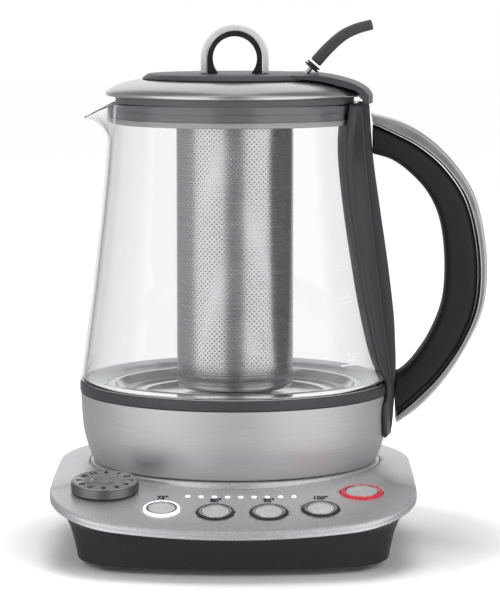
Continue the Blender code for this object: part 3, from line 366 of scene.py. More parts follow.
# Every finish but the glass, each for what it is made of: its colour, as a setting's name or a hex code, its
# metallic value, its grain and further sockets. The grain is its length along X, Y and Z in mm, how far it
# lightens and darkens, its range of roughness, its relief in mm and its detail. Brushed lines and blasted
# grains are really about 0.1 mm apart, and are drawn as coarse as they need to be to show. A metallic
# value between 0 and 1 gives a steel a matt share, so that it stays pale beside dark surroundings.
FINISHES = {
    # Stainless steel brushed on a lathe: fine level lines that stretch each highlight upwards
    "brushed_cup_steel": ("steel", 1.0, (16.0, 16.0, 0.5), 0.05, (0.48, 0.6), 0.004, 3.0,
                          {"Anisotropic": 0.2}),
    "brushed_filter_steel": ("steel", 1.0, (16.0, 16.0, 0.5), 0.05, (0.2, 0.28), 0.001, 3.0,
                             {"Anisotropic": 0.4}),
    # The same steel with a closer, brighter brushing, round the middle of the lid's dome
    "brushed_lid_steel": ("steel", 1.0, (12.0, 12.0, 0.35), 0.02, (0.22, 0.28), 0.0005, 3.0,
                          {"Anisotropic": 0.5}),
    # The same steel brushed lengthways in fine long lines, for the handle's outer strip
    "brushed_strip_steel": ("D6D6D7", 1.0, (9.0, 0.5, 9.0), 0.04, (0.26, 0.38), 0.003, 3.0, {}),
    # Stainless sheet with a bead-blasted satin: an even sparkle of grains and no direction
    "satin_plate_steel": ("DEDEE0", 0.8, (0.6, 0.6, 0.6), 0.18, (0.32, 0.48), 0.004, 2.0, {}),
    # Pale steel, finely blasted, that takes light from all sides, for the finger loop's band
    "satin_band_steel": ("F6F6F7", 0.5, (1.0, 1.0, 1.0), 0.02, (0.4, 0.52), 0.003, 3.0, {}),
    # Spun stainless steel of the button caps: pale, with highlights that fan out from the middle
    "spun_steel": ("F4F4F5", 0.75, (3.0, 3.0, 3.0), 0.03, (0.2, 0.28), 0.0, 3.0, {"Anisotropic": 0.8}),
    # The same, darker and all metal, for the timer knob's face
    "dark_spun_steel": ("C0C0C2", 1.0, (3.0, 3.0, 3.0), 0.03, (0.22, 0.3), 0.0, 3.0, {"Anisotropic": 0.8}),
    # Polished stainless steel of plates, rods and pins: clear reflections with a few faint marks
    "polished_steel": ("D2D3D5", 1.0, (6.0, 6.0, 6.0), 0.03, (0.08, 0.18), 0.002, 3.0, {}),
    # Knurled rim of the timer knob: steel given a darker colour, even all over
    "knurled_steel": ("8C8C8E", 1.0, (0.8, 0.8, 0.8), 0.1, (0.28, 0.42), 0.004, 3.0, {}),
    # Steel with a smoke-grey coating, satin: dark faces with soft lighter edges
    "smoked_steel": ("dark_steel", 0.0, (1.2, 1.2, 1.2), 0.05, (0.34, 0.46), 0.002, 3.0,
                     {"Specular IOR Level": 0.35}),
    # Moulded ABS with a spark-eroded texture: matt, with a faint sparkle of fine pits
    "textured_abs": ("charcoal", 0.0, (0.9, 0.9, 0.9), 0.18, (0.42, 0.6), 0.02, 3.0,
                     {"Specular IOR Level": 0.15}),
    # The lever's moulding: dark grey plastic, satin
    "lever_plastic": ("484849", 0.0, (1.0, 1.0, 1.0), 0.08, (0.34, 0.46), 0.006, 3.0,
                      {"Specular IOR Level": 0.35}),
    # Acrylic ring round an unlit button: dark and satin
    "dim_ring": ("303032", 0.0, (1.0, 1.0, 1.0), 0.06, (0.25, 0.36), 0.0, 3.0, {}),
    # Soft-touch elastomer over the handle's core: matt black with a very fine leathery grain
    "soft_grip": ("grip", 0.0, (0.7, 0.7, 0.7), 0.12, (0.48, 0.62), 0.012, 3.0, {"Specular IOR Level": 0.25}),
    # Moulded polypropylene of the lid's insert: mid grey and satin, with flow marks round it
    "insert_polypropylene": ("insert", 0.0, (30.0, 30.0, 1.6), 0.06, (0.38, 0.5), 0.004, 3.0, {}),
    # Silicone rubber: pale, matt and slightly see-through
    "pale_silicone": ("silicone", 0.0, (2.0, 2.0, 2.0), 0.04, (0.42, 0.55), 0.004, 3.0,
                      {"Subsurface Weight": 0.15, "Subsurface Radius": (0.002, 0.002, 0.002)}),
    # Natural rubber of feet and bush: black, matt, with a bloom of dust
    "black_rubber": ("rubber", 0.0, (1.5, 1.5, 1.5), 0.25, (0.7, 0.9), 0.02, 3.0, {}),
    # Moulded nylon of the inner housings and the connector: dark and a little shiny
    "moulded_nylon": ("343436", 0.0, (1.0, 1.0, 1.0), 0.12, (0.35, 0.5), 0.008, 3.0, {}),
    # Glass-fibre circuit board under green lacquer: a faint weave shows through
    "lacquered_board": ("board", 0.0, (1.0, 6.0, 1.0), 0.2, (0.3, 0.45), 0.004, 3.0, {}),
    # Acrylic light guides, lit from behind: even and a little glossy
    "white_guide": ("lamp", 0.0, (1.5, 1.5, 1.5), 0.06, (0.25, 0.35), 0.0, 3.0, {"Emission Strength": 0.55}),
    "red_guide": ("red", 0.0, (1.5, 1.5, 1.5), 0.06, (0.25, 0.35), 0.0, 3.0, {"Emission Strength": 0.16}),
    # Screen-printed ink on steel, and white frit fired on glass: thin, flat and matt
    "printed_ink": ("ink", 0.0, (0.8, 0.8, 0.8), 0.08, (0.45, 0.6), 0.0, 3.0, {}),
    "fired_frit": ("F4F4F2", 0.0, (0.8, 0.8, 0.8), 0.08, (0.5, 0.7), 0.0, 3.0, {}),
}
MATERIALS = {}


def make_materials(colours):
    """Every finish of the tea maker."""
    for name, (colour, metallic, *grain, sockets) in FINISHES.items():
        hex_code = getattr(colours, colour, colour)
        MATERIALS[name], tree, shader = new_material(name, hex_code, 0.5, metallic, sockets)
        surface_grain(tree, shader, hex_code, *grain)
        if "Anisotropic" in sockets:
            # The lines run round the piece's axis, and draw reflections out across them
            tangent = add_node(tree, "Tangent", direction_type="RADIAL", axis="Z")
            tree.links.new(tangent.outputs[0], shader.inputs["Tangent"])
        if "Emission Strength" in sockets:
            shader.inputs["Emission Color"].default_value = linear(hex_code)
    MATERIALS["borosilicate_glass"] = make_glass(colours.glass)


def make_glass(hex_code):
    """Borosilicate glass, blown and clear: bright rims, and a wall seen only at its edges."""
    material, tree, shader = new_material("borosilicate_glass", hex_code, 0.0, 0.0,
                                          {"IOR": 1.47, "Transmission Weight": 1.0})
    # Lamps shine through it as through thin glass, or what stands inside would be black
    clear = add_node(tree, "BsdfTransparent", {"Color": linear(hex_code)})
    rays = add_node(tree, "LightPath")
    both = add_node(tree, "MixShader", {0: rays.outputs["Is Shadow Ray"], 1: shader, 2: clear})
    # Blown glass waves a little, over about 40 mm
    place = add_node(tree, "TexCoord").outputs["Object"]
    wave = add_node(tree, "TexNoise", {"Vector": place, "Scale": 1 / (40 * MM), "Detail": 1.0})
    bump = add_node(tree, "Bump", {"Height": wave.outputs["Fac"], "Strength": 1.0, "Distance": 0.06 * MM})
    tree.links.new(bump.outputs[0], shader.inputs["Normal"])
    tree.links.new(both.outputs[0], tree.nodes["Material Output"].inputs["Surface"])
    return material


# Shapes that several pieces share, in millimetres and degrees

# Plan of the base: centre of its right front corner, and the arc of its bowed front edge
CORNER_X, CORNER_Y = 45.0, -73.5
BOW_RADIUS, BOW_CENTRE_Y = 230.0, 108.0
# The plate falls away ahead of a line, and its panel is pressed in between two round wings
FALL_START, FALL_RATE = 42.0, 0.00209
WING_X, WING_Y, WING_RADIUS = 105.0, -38.0, 39.5
CREASE_WIDTH = 2.6
SKIRT_HEIGHT = 4.0
HOUSING_DROP = 1.7
FLOOR_Z = 3.0
SEAT_TOP = 38.4
# Places of the controls, as (x, how far ahead of the kettle's axis)
BUTTON_SPOTS = ((-33.5, 98.5), (-8.1, 102.0), (17.05, 102.0), (41.5, 98.5))
POWER_SPOT = (61.5, 77.0)
KNOB_SPOT = (-61.5, 75.0)
LIGHT_SPACING = 6.32
LIGHT_MIDDLE = (3.7, 83.8)
# The jug's foot and rim, how it widens below the rim, and its spout
GLASS_BASE_Z, GLASS_RIM_Z = 79.2, 218.0
GLASS_FALL, GLASS_FLARE, GLASS_POWER = 138.5, 15.2, 1.33
SPOUT_START_Z, SPOUT_REACH, SPOUT_DROP, SPOUT_HALF_ANGLE = 199.0, 13.9, 8.0, 17.0
LOOP_CENTRE_Z = 239.5
# The lever's pin as (x, z), the slope of its rod, and its crank at rest
LEVER_PIN = (30.2, 225.5)
ROD_SLOPE = 50.0
CRANK_LENGTH, CRANK_SLOPE = 15.0, -58.0


def sizes():
    """The add-on's settings for sizes."""
    return bpy.context.scene.tea_maker_sizes


def base_outline(inset):
    """Plan of the base, drawn in from its edge; every inset gives as many points."""
    back_radius, corner_radius = sizes().base_radius / MM, sizes().corner_radius / MM
    tangent = math.degrees(math.atan2(CORNER_X, BOW_CENTRE_Y - CORNER_Y))
    back = arc((0, 0), back_radius - inset, 0, 180, 96)
    left = arc((-CORNER_X, CORNER_Y), corner_radius - inset, 180, 270 - tangent, 24)
    front = arc((0, BOW_CENTRE_Y), BOW_RADIUS - inset, 270 - tangent, 270 + tangent, 24)
    right = arc((CORNER_X, CORNER_Y), corner_radius - inset, 270 + tangent, 360, 24)
    sides = [-CORNER_Y * i / 12 for i in range(1, 12)]
    left_side = [(inset - back_radius, -y) for y in sides]
    right_side = [(back_radius - inset, -y) for y in sides[::-1]]
    return back + left_side + left + front[1:-1] + right + right_side


def edge_centre(x, y):
    """Centre and radius of the outline's arc that a point belongs to."""
    if y >= 0:
        return Vector((0, 0)), sizes().base_radius / MM
    if y > CORNER_Y:
        return Vector((0, y)), sizes().base_radius / MM
    if abs(x) > CORNER_X * (BOW_CENTRE_Y - y) / (BOW_CENTRE_Y - CORNER_Y):
        return Vector((math.copysign(CORNER_X, x), CORNER_Y)), sizes().corner_radius / MM
    return Vector((0, BOW_CENTRE_Y)), BOW_RADIUS


def edge_inset(x, y):
    """How far in from the outline a point lies."""
    centre, radius = edge_centre(x, y)
    return radius - (Vector((x, y)) - centre).length


def plate_height(x, y):
    """Top of the fascia plate: level, then falling away, with a panel pressed in between two wings."""
    fall = FALL_RATE * max(0.0, -y - FALL_START) ** 2
    from_wing = math.hypot(abs(x) - WING_X, y - WING_Y) - WING_RADIUS
    dish = smooth_step(from_wing / CREASE_WIDTH + 0.5) * smooth_step((-y - 25.0) / 12.0)
    return (sizes().deck_height - sizes().dish_depth * dish) / MM - fall


def on_panel(x, ahead):
    """Matrix that stands a piece drawn about the origin on a spot of the control panel."""
    turn = math.atan(2 * FALL_RATE * max(0.0, ahead - FALL_START))
    return Matrix.Translation((x, -ahead, plate_height(x, -ahead))) @ Matrix.Rotation(turn, 4, "X")


def light_spots():
    """Places of the row of indicator lights, bowed with the front edge."""
    count = sizes().light_count
    first = LIGHT_MIDDLE[0] - LIGHT_SPACING * (count - 1) / 2
    places = [first + LIGHT_SPACING * i for i in range(count)]
    return [(x, LIGHT_MIDDLE[1] + 0.4 - ((x - LIGHT_MIDDLE[0]) / (first - LIGHT_MIDDLE[0])) ** 2)
            for x in places]


def glass_radius(z):
    """Outer radius of the jug, which flares from its rim down along a power curve."""
    share = max(0.0, GLASS_RIM_Z - z) / GLASS_FALL
    return sizes().rim_radius / MM + GLASS_FLARE * share ** GLASS_POWER


# Base

class AddHousing(bpy.types.Operator):
    """Dark moulded wall of the base, drawn in towards the table"""
    bl_idname = "teamaker.housing"
    bl_label = "Housing"

    def execute(self, context):
        # Share of the way down the wall, and how far in from the edge
        taper = ((0.0, 1.9), (0.14, 2.6), (0.25, 6.4), (0.5, 9.9), (0.8, 12.2), (0.97, 13.1))
        taper = curve_through(taper, 4)
        tops = [plate_height(x, y) - HOUSING_DROP for x, y in base_outline(0)]

        def ring(share, inset):
            edge = base_outline(inset)
            return [(x, y, top + (FLOOR_Z - top) * share) for (x, y), top in zip(edge, tops)]

        outer = [ring(share, inset) for share, inset in taper] + [ring(0.99, 13.4), ring(1.0, 14.0)]
        inner = [ring(share, inset + 2.5) for share, inset in taper[::-3]]
        wall = skinned(outer + inner, joined=True)
        # Hole for the bush in the rear wall
        wall = combined(wall, bar((0, 60, 15), (0, 95, 15), 5.3), "DIFFERENCE")
        add_piece("base_wall", wall, "base", "textured_abs", ["base_housing"])
        return {"FINISHED"}


class AddFascia(bpy.types.Operator):
    """Bent steel plate with a rolled skirt, a pressed panel and openings for the controls"""
    bl_idname = "teamaker.fascia"
    bl_label = "Fascia plate"

    def execute(self, context):
        bm = bmesh.new()
        start = 1.2
        ring_edges(bm, [(x, y, 0) for x, y in base_outline(start)])
        ring_edges(bm, [(x, y, 0) for x, y in arc((0, 0), 73.4, 0, 360, LARGE)[:-1]])
        # Openings: x, how far ahead, radius and facets
        openings = [(*spot, 9.2, SMALL) for spot in BUTTON_SPOTS] + [(*POWER_SPOT, 10.6, SMALL)]
        openings += [(*spot, 1.55, 12) for spot in light_spots()] + [(*KNOB_SPOT, 4.0, 24)]
        for x, ahead, radius, steps in openings:
            tilt = on_panel(x, ahead)[1][1]
            ring_edges(bm, [(x + a, b * tilt - ahead, 0) for a, b in arc((0, 0), radius, 0, 360, steps)[:-1]])
        bmesh.ops.triangle_fill(bm, use_beauty=True, edges=bm.edges[:])
        for y in range(-119, -23, 2):
            divide(bm, (0, y, 0), (0, 1, 0))
        for x in range(-86, 87, 3):
            divide(bm, (x, 0, 0), (1, 0, 0))
        rim = [e for e in bm.edges
               if e.is_boundary and all(edge_inset(*v.co.xy) < start + 0.02 for v in e.verts)]
        # Rounded edge, a fine groove and a rolled lower lip: (how far in, how far down)
        lip = ((0.7, 0.08), (0.3, 0.3), (0.06, 0.7), (0.0, 1.1), (0.0, 1.45), (0.3, 1.6), (0.3, 2.1),
               (0.0, 2.25), (0.0, 3.4), (0.1, 3.75), (0.35, 3.95), (0.7, SKIRT_HEIGHT))
        for inset, drop in lip:
            result = bmesh.ops.extrude_edge_only(bm, edges=rim)["geom"]
            rim = [item for item in result if isinstance(item, bmesh.types.BMEdge)]
            for vert in (item for item in result if isinstance(item, bmesh.types.BMVert)):
                centre, radius = edge_centre(*vert.co.xy)
                out = (vert.co.xy - centre).normalized() * (radius - inset)
                vert.co = (centre.x + out.x, centre.y + out.y, -drop)
        for vert in bm.verts:
            vert.co.z += plate_height(vert.co.x, vert.co.y)
        bmesh.ops.recalc_face_normals(bm, faces=bm.faces)
        if sum(f.normal.z * f.calc_area() for f in bm.faces) < 0:
            bmesh.ops.reverse_faces(bm, faces=bm.faces)
        plate = add_piece("fascia", bm, "base", "satin_plate_steel", ["fascia_plate"],
                          angle=40, tidy=False)
        sheet = plate.modifiers.new("sheet_steel", "SOLIDIFY")
        sheet.thickness = 1.0 * MM
        sheet.offset = -1.0
        return {"FINISHED"}


class AddSeat(bpy.types.Operator):
    """Raised steel disc that the kettle stands on"""
    bl_idname = "teamaker.seat"
    bl_label = "Kettle seat"

    def execute(self, context):
        radius = sizes().seat_radius / MM
        outline = [(12.8, SEAT_TOP), (radius - 0.9, SEAT_TOP), (radius - 0.4, SEAT_TOP - 0.1),
                   (radius - 0.1, SEAT_TOP - 0.4), (radius, SEAT_TOP - 0.9), (radius, 30.0),
                   (radius - 1.2, 30.0), (radius - 1.2, SEAT_TOP - 1.2), (12.8, SEAT_TOP - 1.2)]
        add_piece("seat", turned(outline), "base", "satin_plate_steel", ["kettle_seat"])
        return {"FINISHED"}


class AddFeet(bpy.types.Operator):
    """Ribbed rubber feet under the base, and the bush in its rear wall"""
    bl_idname = "teamaker.feet"
    bl_label = "Feet and bush"

    def execute(self, context):
        foot = [(0, 0.35), (1.6, 0.35), (1.9, 0.0), (2.6, 0.0), (2.9, 0.35), (3.9, 0.35), (4.2, 0.0),
                (5.3, 0.0), (5.8, 0.25), (6.0, 0.8), (6.0, 2.7), (2.3, 2.7), (2.3, 7.0), (0, 7.0)]
        for number, (x, y) in enumerate(((54, 32), (-54, 32), (-52, -76), (52, -76)), 1):
            bm = placed(turned(foot, SMALL), Matrix.Translation((x, y, 0)))
            add_piece(f"rubber_foot_{number}", bm, "base", "black_rubber", [f"foot_{number}"])
        bush = [(3.0, -3.3), (6.7, -3.3), (7.0, -3.0), (7.0, -2.2), (5.0, -2.2), (5.0, 1.9), (7.0, 1.9),
                (7.0, 2.4), (6.8, 3.4), (6.2, 3.9), (3.6, 4.0), (3.0, 3.7)]
        low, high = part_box("cord_gland")
        middle = [((a + b) / 2 - c) / MM for a, b, c in zip(low, high, (AXIS_X, AXIS_Y, 0))]
        turn = Matrix.Rotation(math.radians(-90 - 13.0), 4, "X")
        bm = placed(turned(bush, SMALL), turn @ Matrix.Translation((0, 0, -0.35)))
        bm = placed(bm, Matrix.Translation(middle))
        add_piece("supply_bush", bm, "base", "black_rubber", ["cord_gland"])
        return {"FINISHED"}


# Controls

BAND_RINGS = 9      # fine rings turned into each button cap
KNURLS = 132        # ridges round the timer knob


def turned_rings(start, stop, depth, count):
    """Points of fine rings between two (radius, height) places, each ring a shallow groove."""
    points = []
    for i in range(2 * count + 1):
        share = i / (2 * count)
        points.append((start[0] + (stop[0] - start[0]) * share,
                       start[1] + (stop[1] - start[1]) * share - (depth if i % 2 else 0.0)))
    return points


class AddButtons(bpy.types.Operator):
    """Four round buttons in their rings, the first one lit, and the power button in its red ring"""
    bl_idname = "teamaker.buttons"
    bl_label = "Buttons"

    def execute(self, context):
        for number, spot in enumerate(BUTTON_SPOTS, 1):
            lit = number == 1
            self.make(f"button_{number}", spot, 8.75, 6.5, "white_guide" if lit else "dim_ring",
                      "white_light" if lit else "housing_plastic")
        self.make("power_button", POWER_SPOT, 10.15, 7.65, "red_guide", "red_light")
        return {"FINISHED"}

    def make(self, name, spot, outer, cap, ring_material, ring_slot):
        """One button: its ring, and its cap with a bevelled lip round a dished, turned face."""
        inner = cap + 0.3
        middle = inner + (0.95 if ring_slot == "housing_plastic" else 0.7)
        ring = [(middle, -4.0), (outer, -4.0), (outer, 0.2), (outer - 0.15, 0.5), (outer - 0.4, 0.64),
                (middle + 0.25, 0.64), (middle + 0.1, 0.45), (middle, 0.3)]
        lip = [(inner, -4.0), (middle, -4.0), (middle, 0.3), (middle - 0.1, 0.6), (middle - 0.3, 0.68),
               (inner + 0.3, 0.6), (inner, 0.4)]
        place = on_panel(*spot)
        for piece, profile, material in (("_guide", ring, ring_material), ("_lip", lip, "polished_steel")):
            add_piece(name + piece, placed(turned(profile, MIDDLE), place), "base", material,
                      [name + "_ring"])
        face = turned_rings((cap - 0.95, 0.4), (1.4, 0.06), 0.035, BAND_RINGS)
        outline = [(0, -4.5), (cap, -4.5), (cap, 0.3), (cap - 0.12, 0.52), (cap - 0.4, 0.6)]
        outline += [(cap - 0.7, 0.55)] + face + [(0.7, 0.03), (0, 0.02)]
        add_piece(name + "_face", placed(turned(outline, MIDDLE), place), name, "spun_steel",
                  [name + "_cap"], angle=60)


class AddKnob(bpy.types.Operator):
    """Timer knob with a diamond-knurled grip and a turned face"""
    bl_idname = "teamaker.knob"
    bl_label = "Timer knob"

    def execute(self, context):
        radius = sizes().knob_radius / MM
        place = on_panel(*KNOB_SPOT)
        levels = [0.9 + 0.52 * i for i in range(8)]
        grip = [(6.0, 0.5), (radius - 0.5, 0.5), (radius - 0.15, 0.7)] + [(radius, z) for z in levels]
        grip += [(radius - 0.15, 4.75), (radius - 0.5, 4.9), (6.0, 4.9)]
        bm = turned(grip, KNURLS)
        for vert in bm.verts:
            if vert.co.xy.length > radius - 0.05:
                column = round(math.atan2(vert.co.y, vert.co.x) * KNURLS / math.tau)
                if (column + round((vert.co.z - levels[0]) / 0.52)) % 2:
                    vert.co.xy *= (radius - 0.32) / radius
        add_piece("knob_grip", placed(bm, place), "timer_knob", "knurled_steel", ["timer_knob"],
                  angle=20)
        face = [(0, 4.9), (radius - 0.7, 4.9), (radius - 0.7, 5.2), (radius - 1.0, 5.42)]
        face += turned_rings((radius - 1.5, 5.3), (6.7, 5.3), 0.03, 12)
        face += [(6.5, 5.42), (6.1, 5.75), (5.7, 5.88)]
        face += turned_rings((5.2, 5.86), (0.9, 5.7), 0.03, 6) + [(0, 5.7)]
        add_piece("knob_face", placed(turned(face, LARGE), place), "timer_knob", "dark_spun_steel",
                  ["timer_knob"], angle=60)
        pointer = raised([(-0.85, 11.0), (0.85, 11.0), (0.0, 14.2)], 5.2, 5.5)
        add_piece("knob_pointer", placed(pointer, place), "timer_knob", "printed_ink", ["timer_knob"],
                  angle=30)
        return {"FINISHED"}


class AddLights(bpy.types.Operator):
    """Row of indicator lights: domed pips on one light bar"""
    bl_idname = "teamaker.lights"
    bl_label = "Indicator lights"

    def execute(self, context):
        x, ahead = LIGHT_MIDDLE
        bm = placed(raised([(-29, -3), (29, -3), (29, 3), (-29, 3)], -4.0, -1.9), on_panel(x, ahead))
        for pip_x, pip_ahead in light_spots():
            pip = turned([(0, -2.5), (1.15, -2.5), (1.15, 0.15), (1.0, 0.27), (0.6, 0.36), (0, 0.4)], 24)
            join(bm, placed(pip, on_panel(pip_x, pip_ahead)))
        add_piece("light_row", bm, "base", "white_guide", ["led_light_bar"])
        return {"FINISHED"}


# Printed numbers

TEMPERATURE_HEIGHT, MINUTE_HEIGHT, VOLUME_HEIGHT = 6.2, 4.2, 5.0
NARROWED = 0.62     # width of the temperatures, as a share of the plain one
BOLDNESS = 0.05     # how far each stroke is thickened, as a share of the height
TEMPERATURE_AHEAD = -13.2
MINUTES_RADIUS, MINUTES_Z = 12.0, 5.36
MARKS_ANGLE = math.radians(-41)


class AddNumbers(bpy.types.Operator):
    """Printed temperatures over the buttons, minutes on the knob and volumes on the glass"""
    bl_idname = "teamaker.numbers"
    bl_label = "Printed numbers"

    def execute(self, context):
        bm = bmesh.new()
        narrow = Matrix.Translation((0, 0, 0.1)) @ Matrix.Diagonal((NARROWED, 1, 1, 1))
        for words, (x, ahead) in zip(("75°", "80°", "95°", "100°"), BUTTON_SPOTS):
            self.print_on(bm, words, TEMPERATURE_HEIGHT, on_panel(x, ahead + TEMPERATURE_AHEAD) @ narrow)
        add_piece("temperature_numbers", bm, "base", "printed_ink", (), tidy=False)
        bm = bmesh.new()
        for i in range(1, 12):
            turn = Matrix.Rotation(math.radians(-30 * i), 4, "Z")
            spot = turn @ Matrix.Translation((0, MINUTES_RADIUS, MINUTES_Z))
            self.print_on(bm, str(i), MINUTE_HEIGHT, on_panel(*KNOB_SPOT) @ spot)
        add_piece("minute_numbers", bm, "timer_knob", "printed_ink", (), tidy=False)
        bm = bmesh.new()
        for words, z in (("1.2", 143.0), ("1.0", 126.0), ("0.5", 96.0)):
            mark = bmesh.new()
            self.print_on(mark, words, VOLUME_HEIGHT, Matrix())
            line = Matrix.Translation((-1.0, -3.4, 0)) @ Matrix.Diagonal((13.0, 0.7, 1, 1))
            bmesh.ops.create_grid(mark, x_segments=12, y_segments=1, size=0.5, matrix=line)
            for vert in mark.verts:
                height = z + vert.co.y
                radius = glass_radius(height) + 0.03
                angle = MARKS_ANGLE + vert.co.x / radius
                vert.co = (radius * math.cos(angle), radius * math.sin(angle), height)
            join(bm, mark)
        add_piece("volume_marks", bm, "kettle", "fired_frit", (), tidy=False)
        return {"FINISHED"}

    @staticmethod
    def print_on(bm, words, height, matrix):
        """Add flat lettering, centred, to a mesh."""
        curve = bpy.data.curves.new("words", "FONT")
        curve.body = words
        curve.size = height
        curve.align_x = curve.align_y = "CENTER"
        curve.offset = BOLDNESS * height
        obj = bpy.data.objects.new("words", curve)
        mesh = bpy.data.meshes.new_from_object(obj)
        mesh.transform(matrix)
        bm.from_mesh(mesh)
        bpy.data.objects.remove(obj, do_unlink=True)
        bpy.data.curves.remove(curve)
        bpy.data.meshes.remove(mesh)


# Kettle

CUP_PROFILE = ((39.6, 71.3), (41.9, 72.4), (46.4, 74.1), (52.0, 75.7), (57.0, 76.5), (63.5, 77.0),
               (73.3, 77.5))
SENSOR_SPOT = (14.5, 2.0)


class AddCup(bpy.types.Operator):
    """Brushed steel cup, the dark clamp band on it and the seal inside the band"""
    bl_idname = "teamaker.cup"
    bl_label = "Cup and band"

    def execute(self, context):
        wall = curve_through(CUP_PROFILE, 5)
        outer = [(66.4, 38.7), (69.5, 38.7), (70.3, 38.85), (70.9, 39.15)] + [(r, z) for z, r in wall]
        inner = [(66.4, 39.9), (69.1, 39.9), (70.0, 40.3)] + [(r - 1.2, z) for z, r in wall[5:]]
        add_piece("cup", turned(outer + inner[::-1]), "kettle", "brushed_cup_steel", ["steel_cup"],
                  angle=50)
        edge = sizes().band_radius / MM
        band = [(71.0, 73.6), (edge - 0.6, 73.6), (edge - 0.15, 73.8), (edge, 74.3), (edge, 77.8),
                (edge - 0.2, 78.35), (edge - 0.6, 78.6), (76.6, 78.6), (76.6, 74.8), (71.0, 74.8)]
        add_piece("clamp_band", turned(band), "kettle", "smoked_steel", ["band_ring"])
        seal = [(73.4, 75.1), (76.3, 75.1), (76.3, 78.6), (76.1, 78.85), (75.8, 78.9), (74.9, 78.9),
                (74.6, 78.7), (73.4, 78.0)]
        add_piece("jug_seal", turned(seal), "kettle", "pale_silicone", ["plate_seal"])
        return {"FINISHED"}


class AddHeatingPlate(bpy.types.Operator):
    """Polished heating plate in its pressed surround, and the sensor that stands in it"""
    bl_idname = "teamaker.heating_plate"
    bl_label = "Heating plate"

    def execute(self, context):
        disc = [(0, 71.5), (56.6, 71.5), (56.6, 72.3), (56.4, 72.5), (46.0, 72.5), (45.4, 72.35),
                (44.8, 72.5), (0, 72.5)]
        plate = combined(turned(disc), bar((*SENSOR_SPOT, 60), (*SENSOR_SPOT, 80), 2.9), "DIFFERENCE")
        add_piece("plate_disc", plate, "kettle", "polished_steel", ["heating_plate"])
        upper = [(74.6, 80.2), (74.0, 80.1), (70.2, 77.9), (66.6, 75.5), (65.8, 75.2), (65.1, 75.5),
                 (64.2, 76.7), (63.6, 77.0), (61.0, 77.0), (60.3, 76.8), (57.8, 72.8), (57.3, 72.5),
                 (56.9, 72.5)]
        lower = [(56.9, 71.5), (57.7, 71.5), (60.6, 76.0), (63.3, 76.0), (65.8, 74.0), (74.6, 79.2)]
        add_piece("plate_ring", turned(upper + lower), "kettle", "polished_steel", ["plate_surround"])
        sensor = [(0, 63.0), (2.5, 63.0), (2.5, 72.8), (4.3, 72.8), (4.5, 73.0), (4.4, 73.5), (3.9, 74.05),
                  (2.6, 74.45), (0, 74.6)]
        bm = placed(turned(sensor, SMALL), Matrix.Translation((*SENSOR_SPOT, 0)))
        add_piece("sensor_cap", bm, "kettle", "polished_steel", ["temperature_sensor"])
        return {"FINISHED"}


class AddJug(bpy.types.Operator):
    """Glass jug with a rounded rim and a pouring spout"""
    bl_idname = "teamaker.jug"
    bl_label = "Glass jug"

    def execute(self, context):
        wall = sizes().glass_wall / MM
        levels = [GLASS_BASE_Z + 0.6, 82.0] + [85 + 4.75 * i for i in range(24)]
        levels += [198 + 1.2 * i for i in range(16)] + [217.3]
        outer = [self.ring(z, 0.0) for z in levels]
        inner = [self.ring(z, wall) for z in levels[::-1]]
        half = wall / 2
        rim = [self.ring(217.3, half - half * math.cos(math.radians(a)), 0.7 * math.sin(math.radians(a)))
               for a in (30, 60, 90, 120, 150)]
        foot = [self.ring(GLASS_BASE_Z, wall - 0.6), self.ring(GLASS_BASE_Z, 0.6)]
        add_piece("jug", skinned(outer + rim + inner + foot, joined=True), "kettle",
                  "borosilicate_glass", ["glass_jug"], angle=70)
        return {"FINISHED"}

    @staticmethod
    def ring(z, depth, lift=0.0):
        """Ring of the jug at a height, so deep in from its outer face, drawn out at the spout."""
        step = 360 / LARGE
        angles = [i * step for i in range(LARGE)] + [180 + (i + 0.5) * step for i in range(-9, 9)]
        points = []
        for angle in sorted(angles):
            off = abs(angle - 180) / SPOUT_HALF_ANGLE
            share = math.cos(math.pi / 2 * off) ** 2 if off < 1 else 0.0
            rise = max(0.0, (z - SPOUT_START_Z) / (GLASS_RIM_Z - SPOUT_START_Z))
            radius = glass_radius(z) - depth + SPOUT_REACH * rise ** 1.6 * share
            x, y = polar(radius, angle)
            points.append((x, y, z + lift - SPOUT_DROP * rise ** 2.15 * share))
        return points


BRACKET_SPINE = curve_through(((51.0, 77.4), (60.0, 79.1), (83.0, 80.6), (102.5, 80.1), (115.0, 79.2),
                               (140.0, 76.1), (167.5, 72.0), (192.0, 68.6), (217.8, 66.7)), 5)
BRACKET_WRAP = curve_through(((51.0, 12.0), (54.0, 16.0), (61.0, 18.5), (68.0, 19.0), (72.5, 16.5),
                              (79.6, 16.5), (83.0, 20.0), (88.0, 22.5), (97.0, 25.0), (115.0, 28.0),
                              (140.0, 30.5), (165.0, 32.6), (190.0, 33.4), (205.0, 31.0), (217.8, 27.0)), 5)
HANDLE_STATIONS = curve_through((
    (68.3, 212.2, 69.0, 206.9, 69.0, 192.2), (83.4, 207.9, 80.5, 201.6, 78.4, 189.2),
    (97.0, 200.0, 93.0, 194.7, 87.5, 182.6), (110.0, 187.0, 105.3, 183.8, 96.5, 172.5),
    (120.3, 169.5, 115.6, 167.5, 102.5, 159.0), (125.5, 142.9, 121.0, 142.9, 105.0, 140.0),
    (124.6, 118.5, 120.5, 118.5, 104.0, 119.5), (117.5, 99.8, 113.4, 99.0, 98.0, 103.0),
    (106.0, 81.0, 101.8, 81.9, 90.0, 90.5), (93.3, 66.6, 90.4, 70.4, 84.0, 84.3),
    (81.0, 57.5, 80.9, 62.2, 80.9, 82.7)), 6)
BRACKET_FOOT, BRACKET_TOP, SPINE_HALF_WIDTH = 51.0, 217.8, 9.0
HANDLE_HALF_WIDTH = 11.0


